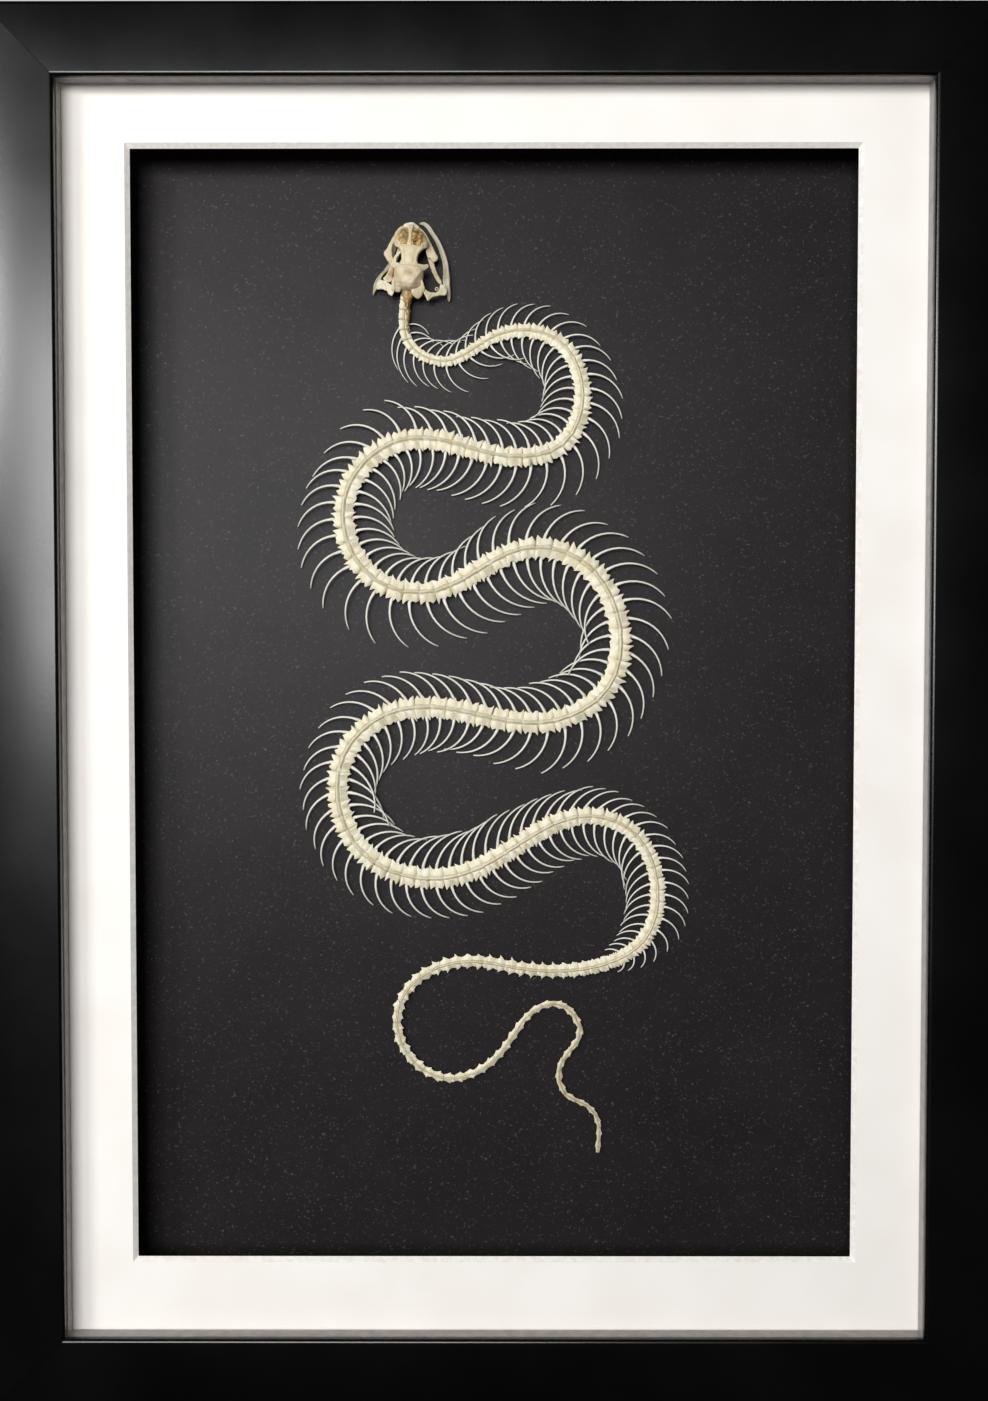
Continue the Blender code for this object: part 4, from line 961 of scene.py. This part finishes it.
# flat bones: (right, forward) of edge A, of edge B, then the lift of the middle and the thickness
skullBones = {
    "mandibleRight": [
        (1.2, 18.1, 1.6, 17.45, 0.95, 0.8), (2.3, 18.35, 2.5, 17.25, 0.95, 0.9),
        (3.5, 17.95, 3.2, 16.8, 1.0, 0.95), (5.0, 16.3, 4.0, 15.85, 1.0, 1.0),
        (6.6, 14.3, 5.75, 13.65, 1.05, 1.0), (8.15, 11.7, 7.05, 11.0, 1.1, 1.1),
        (9.3, 8.95, 7.9, 8.75, 1.25, 1.3), (10.0, 6.25, 8.3, 6.6, 1.35, 1.7),
        (10.4, 3.6, 8.5, 4.1, 1.35, 1.8), (10.7, 1.8, 9.4, 1.9, 1.25, 1.6),
        (10.8, 0.0, 10.0, 0.0, 1.1, 0.9),
    ],
    "mandibleLeft": [
        (-1.2, 16.9, -0.8, 16.3, 0.85, 0.75), (-2.6, 15.7, -2.0, 15.0, 0.85, 0.9),
        (-3.9, 13.4, -3.0, 12.9, 0.9, 1.0), (-4.6, 10.7, -3.7, 10.4, 0.95, 1.0),
        (-4.9, 8.3, -4.0, 7.9, 0.95, 1.0), (-5.6, 6.5, -4.85, 6.0, 1.0, 1.1),
        (-6.9, 4.6, -6.05, 4.3, 1.15, 1.3), (-7.9, 2.7, -6.6, 2.3, 1.2, 1.5),
        (-8.15, 1.2, -7.2, 0.9, 1.15, 1.2), (-8.15, -0.45, -7.75, -0.35, 1.1, 0.8),
    ],
    "maxillaRight": [
        (1.4, 16.6, 1.2, 16.0, 2.3, 0.6), (3.3, 15.05, 2.6, 14.6, 2.45, 0.9),
        (4.6, 13.2, 3.6, 12.9, 2.6, 1.1), (5.7, 11.5, 4.0, 11.4, 2.75, 1.2),
        (6.55, 10.1, 4.3, 10.2, 2.75, 1.1), (6.9, 9.3, 4.8, 9.3, 2.7, 0.9), (6.2, 8.35, 5.3, 8.7, 2.6, 0.7),
    ],
    "maxillaLeft": [
        (-1.9, 16.75, -1.7, 16.2, 2.3, 0.6), (-3.3, 15.7, -2.7, 15.2, 2.45, 0.9),
        (-4.2, 13.9, -3.4, 13.6, 2.6, 1.1), (-4.9, 12.2, -3.9, 12.1, 2.75, 1.2),
        (-5.7, 10.3, -4.3, 10.4, 2.8, 1.0), (-6.15, 9.2, -4.1, 9.2, 2.75, 0.9),
        (-5.5, 8.1, -3.7, 8.3, 2.7, 0.9), (-4.7, 7.1, -3.4, 7.5, 2.6, 0.8),
        (-4.0, 6.4, -3.4, 6.9, 2.5, 0.6),
    ],
    "pterygoidRight": [
        (3.4, 12.4, 3.9, 12.5, 1.7, 0.55), (3.9, 10.9, 4.7, 11.1, 1.75, 0.6),
        (4.25, 9.5, 5.4, 9.8, 1.75, 0.7), (4.8, 8.1, 5.95, 8.4, 1.7, 0.75),
        (5.4, 6.8, 6.55, 7.0, 1.65, 0.75), (6.1, 5.6, 7.2, 5.8, 1.6, 0.75),
        (6.95, 4.4, 7.95, 4.8, 1.5, 0.7), (7.8, 3.5, 8.5, 4.0, 1.45, 0.6),
    ],
    "pterygoidLeft": [
        (-3.0, 12.0, -2.4, 12.0, 1.75, 0.45), (-3.3, 10.2, -2.5, 10.2, 1.75, 0.5),
        (-3.9, 8.2, -2.9, 8.0, 1.8, 0.55), (-4.65, 6.3, -3.5, 6.1, 1.8, 0.6),
        (-5.1, 4.75, -3.5, 4.2, 1.95, 0.6), (-6.3, 3.3, -3.7, 2.5, 2.1, 0.55),
    ],
    "quadrateRight": [
        (4.1, 0.8, 4.3, 1.6, 4.3, 0.5), (4.6, 0.15, 4.9, 1.3, 4.1, 0.7), (5.1, -0.6, 5.3, 1.1, 3.95, 0.75),
        (5.5, -1.2, 5.75, 1.0, 3.8, 0.7), (6.05, -0.65, 6.2, 1.0, 3.6, 0.75),
        (6.7, -0.05, 6.7, 1.05, 3.4, 0.75), (7.7, 0.4, 7.45, 1.3, 3.2, 0.75),
        (8.7, 0.7, 7.95, 2.2, 3.0, 0.7), (9.6, 1.0, 8.1, 3.3, 2.85, 0.6), (9.9, 2.2, 8.9, 3.6, 2.75, 0.5),
    ],
    "quadrateLeft": [
        (-2.35, 0.5, -2.6, 1.4, 4.3, 0.6), (-2.75, -0.2, -3.2, 1.6, 4.1, 0.8),
        (-3.1, -0.85, -3.8, 1.9, 3.9, 0.75), (-3.75, -0.75, -4.3, 2.2, 3.7, 0.8),
        (-4.5, 0.2, -4.9, 2.5, 3.5, 0.8), (-5.3, 0.6, -5.6, 2.8, 3.2, 0.75),
        (-6.2, 0.6, -6.4, 2.9, 3.0, 0.7), (-7.2, 0.6, -7.25, 2.4, 2.8, 0.5),
    ],
    "ectopterygoidLeft": [
        (-2.2, 10.3, -1.8, 9.8, 3.5, 0.4), (-2.9, 9.6, -2.5, 9.15, 3.3, 0.45),
        (-3.5, 8.8, -2.95, 8.4, 3.1, 0.5), (-3.9, 7.8, -3.0, 7.4, 3.0, 0.6),
        (-4.2, 6.9, -3.0, 6.6, 2.9, 0.6),
    ],
    "ectopterygoidRight": [
        (3.5, 12.9, 4.2, 12.8, 3.3, 0.4), (3.7, 11.6, 4.6, 11.6, 3.1, 0.5),
        (3.9, 10.3, 4.9, 10.3, 3.0, 0.5), (4.4, 9.2, 5.4, 9.3, 2.9, 0.5),
    ],
    "postorbitalRight": [
        (2.5, 6.9, 2.6, 5.6, 5.6, 0.6), (3.3, 6.85, 3.5, 5.3, 5.2, 0.6), (4.2, 7.1, 4.2, 5.8, 4.7, 0.5),
        (4.95, 7.3, 4.95, 6.6, 4.3, 0.35),
    ],
    "postorbitalLeft": [
        (-2.0, 6.7, -2.2, 5.4, 5.5, 0.6), (-2.9, 6.8, -3.0, 5.4, 5.0, 0.6),
        (-3.7, 6.8, -3.7, 5.7, 4.5, 0.5), (-4.3, 6.9, -4.3, 6.3, 4.1, 0.35),
    ],
    "prefrontalRight": [
        (2.5, 11.9, 2.8, 10.6, 4.95, 0.5), (3.4, 12.3, 3.5, 10.8, 4.5, 0.6),
        (3.95, 12.8, 4.05, 11.3, 4.0, 0.6), (4.15, 13.3, 4.4, 12.3, 3.5, 0.45),
    ],
    "prefrontalLeft": [
        (-2.1, 11.8, -2.3, 10.5, 4.95, 0.5), (-2.9, 12.1, -3.1, 10.6, 4.5, 0.6),
        (-3.45, 12.7, -3.75, 11.3, 3.9, 0.6), (-3.7, 13.3, -4.0, 12.5, 3.4, 0.45),
    ],
    "supratemporalRight": [
        (3.3, 3.3, 3.8, 3.3, 5.0, 0.5), (3.5, 2.2, 4.3, 2.2, 4.8, 0.55), (3.7, 1.2, 4.6, 1.3, 4.6, 0.55),
        (3.9, 0.5, 4.7, 0.7, 4.4, 0.5),
    ],
    "supratemporalLeft": [
        (-2.7, 3.3, -3.2, 3.3, 5.0, 0.5), (-2.6, 2.2, -3.4, 2.1, 4.8, 0.55),
        (-2.5, 1.1, -3.4, 1.0, 4.6, 0.55), (-2.4, 0.3, -3.1, 0.0, 4.4, 0.5),
    ],
    "exoccipitalRight": [
        (1.1, 2.6, 3.6, 2.6, 4.3, 0.9), (1.1, 1.6, 3.95, 1.6, 4.3, 1.0), (1.3, 0.7, 4.25, 0.8, 4.2, 1.0),
        (1.8, -0.2, 4.15, 0.15, 3.95, 0.9), (2.75, -0.95, 3.65, -0.7, 3.7, 0.6),
    ],
    "exoccipitalLeft": [
        (-3.1, 2.3, -1.0, 2.3, 4.3, 0.8), (-3.05, 1.5, -1.0, 1.4, 4.3, 0.9),
        (-2.95, 0.8, -1.1, 0.7, 4.15, 0.8), (-2.7, 0.2, -1.4, 0.1, 3.9, 0.5),
    ],
    "premaxilla": [
        (-2.4, 16.55, -1.9, 15.7, 2.7, 0.7), (-1.2, 17.0, -1.1, 15.9, 3.0, 1.0),
        (-0.2, 17.1, -0.2, 15.7, 3.3, 1.1), (0.8, 16.9, 0.7, 15.8, 3.0, 1.0),
        (1.9, 16.2, 1.4, 15.3, 2.7, 0.7),
    ],
    "nasalBar": [
        (-0.8, 11.0, 0.6, 11.1, 5.1, 0.5), (-0.5, 12.2, 0.22, 12.2, 5.08, 0.4),
        (-0.45, 13.4, 0.2, 13.4, 4.95, 0.4), (-0.6, 14.6, 0.15, 14.7, 4.65, 0.4),
        (-0.95, 15.6, 0.35, 15.7, 4.15, 0.5), (-0.9, 16.6, 0.5, 16.6, 3.6, 0.6),
    ],
}

skullFinish = {
    # overall stain of the bones joined to the roof
    "joined": {"postorbital": 0.0, "prefrontal": 0.15, "supratemporal": 0.2, "exoccipital": 0.25},
    # finish, overall stain and depth of the groove of the bones that are pieces of their own
    "single": {
        "maxilla": ("skull", 0.2, 0.12), "quadrate": ("vertebra", 0.22, 0.12),
        "pterygoid": ("skull", 0.25, 0.12), "mandible": ("jaw", 0.1, 0.28),
    },
    # reddish patches: right, forward and reach
    "blush": {
        "maxillaRight": (4.3, 11.7, 0.9), "ectopterygoidRight": (4.3, 11.7, 0.9),
        "pterygoidLeft": (-3.7, 4.9, 1.0),
    },
}

earBone = {
    "place": (7.3, 2.1, 3.1),        # right, forward, lift
    "radius": 0.34,
    "halfThickness": 0.13,
}


def skullPoint(right, forward, lift):
    # A place given from the nape, to the right and forward in the skull's lean, and off the card.
    lean = math.radians(skull["lean"])
    x = skull["nape"][0] + right * math.cos(lean) + forward * math.sin(lean)
    z = skull["nape"][1] - right * math.sin(lean) + forward * math.cos(lean)
    return onCard(x, z, lift)


def bell(value, middle, width):
    # 1 at the middle, falling off smoothly to both sides.
    return np.exp(-((value - middle) / width) ** 2)


def unevenAt(right, forward):
    # Low bumps about a millimetre apart: a sum of sines that run across each other.
    return (np.sin(4.1 * right + 2.3 * forward) + np.sin(5.3 * forward - 2.9 * right + 1.0)
            + np.sin(6.7 * right - 1.7 * forward + 2.0)) / 3


def filledOval(corners, power):
    # An oval filled out by a power below 1: how far each corner lies across and up, from -1 to 1.
    turn = 2 * np.pi * (np.arange(corners) + 0.5) / corners
    return [np.sign(each) * np.abs(each) ** power for each in (np.cos(turn), np.sin(turn))]


def drawnIn(stations, nearEnd, power):
    # The share of its size that each section keeps: nearly all, and ever less towards both ends.
    return (1 - np.abs(np.linspace(-nearEnd, nearEnd, stations)) ** power) ** 0.5


def hullShell(rows, relief, stations=80, corners=72, power=0.7):
    # A closed hull: each section is a filled-out oval between its left and right edge and its low and
    # high point. relief(right, forward) gives what lifts its top, and its stain and blush; its underside is
    # stained half way, as painted shade.
    forward, leftEdge, rightEdge, low, high = splineThrough(rows, stations, np.array(rows)[:, [0, 0]]).T
    close = drawnIn(stations, 0.995, 16)
    side, up = filledOval(corners, power)
    right = ((leftEdge + rightEdge) / 2)[:, None] + ((rightEdge - leftEdge) / 2 * close)[:, None] * side
    lift = ((low + high) / 2)[:, None] + ((high - low) / 2 * close)[:, None] * up
    forward = np.broadcast_to(forward[:, None], right.shape)
    raised, stain, blush = relief(right, forward)
    top = np.clip(up, 0, 1)
    lift = lift + (raised + skull["uneven"] * unevenAt(right, forward)) * top
    return closedTubes(skullPoint(right, forward, lift)[None],
                       stain=(stain * top + 0.5 * (1 - top))[None], blush=(blush * top)[None])


def boneShell(bone, stations=34, groove=0.12, worn=0.1, corners=16, power=0.8):
    # A flat bone between two edges: across it runs from A to B, and its section is a filled-out oval
    # with a shallow groove along the middle of its top. Low bumps run over it. worn is its overall stain.
    rows = np.array(skullBones[bone], float)
    line = splineThrough(rows, stations, (rows[:, 0:2] + rows[:, 2:4]) / 2)
    edgeA, edgeB, lift, thick = line[:, 0:2], line[:, 2:4], line[:, 4:5], line[:, 5:6]
    close = drawnIn(stations, 0.992, 12)[:, None]
    side, up = filledOval(corners, power)
    middle, half = (edgeA + edgeB) / 2, (edgeB - edgeA) / 2
    bumps = unevenAt(middle[:, :1] + 3 * side, middle[:, 1:])
    out = side * close * (1 + 0.09 * bumps)
    right, forward = middle[:, :1] + half[:, :1] * out, middle[:, 1:] + half[:, 1:] * out
    hollow = bell(side, 0, 0.4) * (up > 0)
    lift = lift + thick / 2 * up * close - groove * thick * hollow + skull["uneven"] * bumps * (up > 0)
    # Painted shade: darker in the groove along the top, underneath, and in the dips between the bumps; worn
    # is the bone's own stain.
    stain = np.clip(worn + 0.3 * hollow + 0.35 * (up < 0) - 0.2 * bumps, 0, 1)
    red = np.zeros_like(right)
    if bone in skullFinish["blush"]:
        redRight, redForward, redReach = skullFinish["blush"][bone]
        red = bell(np.hypot(right - redRight, forward - redForward), 0, redReach)
    return closedTubes(skullPoint(right, forward, lift)[None], stain=stain[None], blush=red[None])


def roofRelief(right, forward):
    # The crown's flat table, whose two ridges meet at the back, falls away to both sides. A dent lies in
    # its middle and a suture in front of it; then come the frontals' raised rims and the seam between.
    middle, start, widening, fall = skull["crown"]
    across = right - middle
    table = start + widening * np.clip(forward - 0.6, 0, 6)
    beside = np.clip(np.abs(across) - table, 0, 3)
    ridge = bell(np.abs(across), table, 0.3)
    dentAside, dentForward = skull["dent"]
    dent = bell(across, *dentAside) * bell(forward, *dentForward)
    place, width = skull["suture"]
    suture = bell(forward, place + 0.16 * np.cos(2.1 * across), width)
    place, width = skull["nuchal"]
    nuchal = bell(forward, place + 0.25 * np.abs(across), width)
    rearRaised = 0.12 * ridge - fall * beside - 0.28 * dent - 0.12 * suture - 0.1 * nuchal
    # Painted shade: darker in the dent and the groove across the back, and down the right-hand slope. The
    # suture is a darker line, and the rest differs at random.
    rearStainAndShade = 0.2 + 0.12 * unevenAt(right * 0.5, forward * 0.6) + 0.2 * suture + 0.3 * dent + 0.25 * nuchal
    rearStainAndShade = rearStainAndShade + 0.3 * np.clip(beside, 0, 1) * (across > 0)
    wide = np.abs(across) / (2.0 + 0.4 * np.clip(forward - 9, 0, 3))
    rim, trough = bell(wide, 0.95, 0.22), bell(wide, 0.5, 0.25)
    place, width = skull["seam"]
    seam = bell(right, place + 0.06 * np.sin(3 * forward), width)
    frontRaised = 0.16 * rim - 0.1 * seam - 0.12 * trough
    # Painted shade in the troughs inside the frontals' rims; the seam between them is darker in itself.
    frontStainAndShade = 0.25 * seam + 0.12 * bell(wide, 0.5, 0.3)
    frontalsFrom, over = skull["frontals"]
    rear = np.clip((frontalsFrom - forward) / over, 0, 1)
    raised = rear * rearRaised + (1 - rear) * frontRaised
    stain = rear * rearStainAndShade + (1 - rear) * frontStainAndShade
    blush = rear * (0.45 * dent + 0.3 * suture + 0.25 * bell(across, 1.6, 1.2) * bell(forward, 3.2, 1.3))
    return raised, stain, blush


def noseRelief(right, forward):
    # Two shrunken lobes, one over each nostril's capsule, with curled folds. They are brown, and the
    # stain leaves a pale rim round them.
    lobe = np.zeros_like(right)
    lobesForward, halfLength = skull["lobesForward"]
    for middle, halfWidth in skull["lobes"]:
        reached = ((right - middle) / halfWidth) ** 4 + ((forward - lobesForward) / halfLength) ** 4
        lobe = np.maximum(lobe, np.clip(1.6 * np.exp(-reached), 0, 1))
    folds = np.sin(3.2 * np.abs(right) + 2.3 * forward) * np.cos(2.6 * forward - 1.8 * np.abs(right))
    raised = 0.22 * lobe * (1 + folds) - 0.2 * (1 - lobe)
    brown = lobe * np.where(right < 0, 0.85, 1.0) + 0.12 * (1 - lobe)
    return raised, brown, bell(right, 2.0, 0.6) * bell(forward, lobesForward, 0.7)


def makeSkull():
    # The roof with the small bones joined to it, the nose, and the paired bones round them.
    joined = [boneShell(bone + side, worn=worn) for side in ("Left", "Right")
              for bone, worn in skullFinish["joined"].items()]
    makePiece("skullRoof", [hullShell(skull["roof"], roofRelief), *joined], [finishes["skull"]],
              ["skull_cranium"], crease=60)
    makePiece("noseTissue", [hullShell(skull["nose"], noseRelief, power=0.8)], [finishes["tissue"]],
              ["skull_snout"], crease=60)
    bar = {**boneShell("nasalBar"), "coats": [1, 1]}
    makePiece("noseBones", [boneShell("premaxilla"), bar], [finishes["vertebra"], finishes["skull"]],
              ["skull_snout"], crease=60)
    for bone, (finish, worn, groove) in skullFinish["single"].items():
        for side in ("Left", "Right"):
            shells = [boneShell(bone + side, 50, groove, worn)]
            if bone == "maxilla":
                shells.append(boneShell("ectopterygoid" + side))
            makePiece(bone + side, shells, [finishes[finish]], [f"{bone}_{side.lower()}"], crease=60)


def makeEarBone():
    # The ring at the end of the ear bone, a small circle carried round a circle.
    turn = np.linspace(0, 2 * np.pi, 21)[:, None]
    around = np.linspace(0, 2 * np.pi, 8, endpoint=False)[None]
    (right, forward, lift), thick = earBone["place"], earBone["halfThickness"]
    radius = earBone["radius"] + thick * np.cos(around)
    rings = skullPoint(right + radius * np.cos(turn), forward + radius * np.sin(turn),
                       lift + thick * np.sin(around) + 0 * turn)
    makePiece("earBoneRing", [closedTubes(rings[None], stain=0.3)], [finishes["skull"]])


nape = {
    "start": -1.0,           # under the skull
    "length": 11.5,          # of the dried sheath
    # by the share of that length
    "aside": [(0, 0.0), (0.22, 0.1), (0.42, 0.75), (1, 0.75)],       # of its middle, to the right
    "halfWidth": [(0, 1.5), (0.22, 1.4), (0.42, 0.66), (0.85, 0.52), (1, 0.35)],
    "brown": [(0, 0.6), (0.2, 0.75), (0.38, 1.0), (0.55, 0.75), (1, 0.6)],
    "halfThickness": 0.55,
    "proud": 0.3,            # over the vertebrae
}


def makeNapeTissue():
    # A strand of dried skin laid over the right half of the first vertebrae: an oval section that narrows
    # backwards, reddish brown at the skull and ochre further down.
    share = np.linspace(0, 1, 40)[:, None]
    turn = np.linspace(0, 2 * np.pi, 14, endpoint=False)[None]
    along = nape["start"] + share * nape["length"]
    wide = readOff(nape["halfWidth"], share) * (1 + 0.08 * np.sin(5 * along))
    wide = wide * np.clip(20 * (1.02 - share), 0, 1)
    aside = readOff(nape["aside"], share) + 0.1 * np.sin(1.3 * along)
    left = -aside + wide * np.cos(turn)
    spineTop = backbone["rest"] + readOff(backbone["neckRise"], along)
    spineTop = spineTop + 1.2 * readOff(backbone["halfWidth"], along)
    crest = spineTop + nape["proud"] * (1 - share)
    thick = nape["halfThickness"]
    lift = crest - thick - 0.35 * np.cos(turn) ** 2 + (thick + 0.06 * np.sin(7 * along)) * np.sin(turn)
    # Painted shade: a third of the way down, the strand is paler on the snake's left side and browner on its
    # right.
    brown = readOff(nape["brown"], share) - 0.2 * np.cos(turn) * bell(share, 0.3, 0.15)
    red = bell(share, 0.29, 0.1) * bell(np.cos(turn), -0.15, 0.5)
    rings = fromVertebra(along + 0 * left, left, 0, lift)
    shell = closedTubes(rings[None], stain=np.clip(brown, 0, 1)[None], blush=red[None])
    makePiece("napeTissue", [shell], [finishes["tissue"]])


makeSkull()
makeEarBone()
makeNapeTissue()
print("skull made")


# Stage, lights and camera

stage = {
    "floorSize": 4.0,        # metres
    # place from the picture's middle, width and height, watts
    "window": ((-0.187, -0.8, 0.15), (0.46, 0.32), 6.2),
    "lamp": ((-0.65, -0.75, 0.32), (0.26, 0.19), 4.4),
    "rear": ((0.7, 1.2, 0.9), (1.2, 1.2), 14.0),
    "sky": 0.075,
    "mirroredSky": 0.02,     # what gloss shows of it, as in a room with dark furniture
    "backdrop": 0.62,        # what the camera sees of it
}

viewpoint = {
    "photoHeight": 1401,     # pixels
    "focalLength": 1230,     # pixels
    "place": (0.000415, -0.311613, -0.145088),       # metres
    "tippedDown": 1.584,     # degrees
    "turnedLeft": 0.103,     # degrees
}


def makeStage():
    # A pale sheet of paper under the object, faintly clouded.
    half, level = stage["floorSize"] / 2, cadBounds[0][2]
    corners = [(x * half, y * half, level) for x, y in ((-1, -1), (1, -1), (1, 1), (-1, 1))]
    mesh = bpy.data.meshes.new("floor")
    mesh.from_pydata(corners, [], [(0, 1, 2, 3)])
    material, tree, shader, place = startMaterial("paleStudioPaper", {"Roughness": 0.9})
    addMottle(tree, shader, {"Vector": place, "Scale": 6.0, "Detail": 3.0},
              [(0.3, "#d2cfca"), (0.7, "#d9d6d1")])
    mesh.materials.append(material)
    floor = bpy.data.objects.new("floor", mesh)
    bpy.context.scene.collection.objects.link(floor)
    floor.visible_glossy = False         # kept out of the glass and the lacquer
    floor.visible_diffuse = False        # a picture on a wall has no floor close below it


def makeSky():
    # A dim room round the picture, that the camera sees as a pale backdrop.
    world = bpy.data.worlds.new("studio")
    world.use_nodes = True
    tree = world.node_tree
    path = addNode(tree, "ShaderNodeLightPath")
    room = addNode(tree, "ShaderNodeMapRange", inputs={
        "Value": path.outputs["Is Glossy Ray"], "To Min": stage["sky"], "To Max": stage["mirroredSky"]})
    strength = addNode(tree, "ShaderNodeMapRange", inputs={
        "Value": path.outputs["Is Camera Ray"], "To Min": room.outputs["Result"],
        "To Max": stage["backdrop"]})
    tree.links.new(strength.outputs["Result"], tree.nodes["Background"].inputs["Strength"])
    tree.nodes["Background"].inputs["Color"].default_value = srgb("#ffffff")
    bpy.context.scene.world = world


def makeLights():
    # A soft window in front to the left, a lamp further left, and a light behind. The window stands where
    # the glass would mirror it into the camera, so it leaves the glass out.
    low, high = cadBounds
    target = Vector((0.0, -0.02, (low[2] + high[2]) / 2))
    for name in ("window", "lamp", "rear"):
        place, size, power = stage[name]
        lamp = bpy.data.lights.new(name, "AREA")
        lamp.shape, lamp.size, lamp.size_y, lamp.energy = "RECTANGLE", *size, power
        light = bpy.data.objects.new(name, lamp)
        light.location = target + Vector(place)
        light.rotation_euler = (target - light.location).to_track_quat("-Z", "Y").to_euler()
        bpy.context.scene.collection.objects.link(light)
        if name == "window":
            unlit = bpy.data.collections.new("unlitByWindow")
            unlit.objects.link(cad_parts["glazing"])
            light.light_linking.receiver_collection = unlit
            unlit.collection_objects[0].light_linking.link_state = "EXCLUDE"


def makeCamera():
    # A phone's camera close in front of the picture, level with its middle and tipped a little down.
    camera = bpy.data.cameras.new("camera")
    camera.sensor_fit, camera.sensor_height = "VERTICAL", 36.0
    camera.lens = camera.sensor_height * viewpoint["focalLength"] / viewpoint["photoHeight"]
    camera.clip_start = 0.01
    view = bpy.data.objects.new("camera", camera)
    view.location = viewpoint["place"]
    turns = (90 - viewpoint["tippedDown"], 0, viewpoint["turnedLeft"])
    view.rotation_euler = [math.radians(turn) for turn in turns]
    bpy.context.scene.collection.objects.link(view)
    bpy.context.scene.camera = view


makeStage()
makeSky()
makeLights()
makeCamera()
bpy.context.scene.view_settings.view_transform = "Standard"
print("stage, lights and camera made")
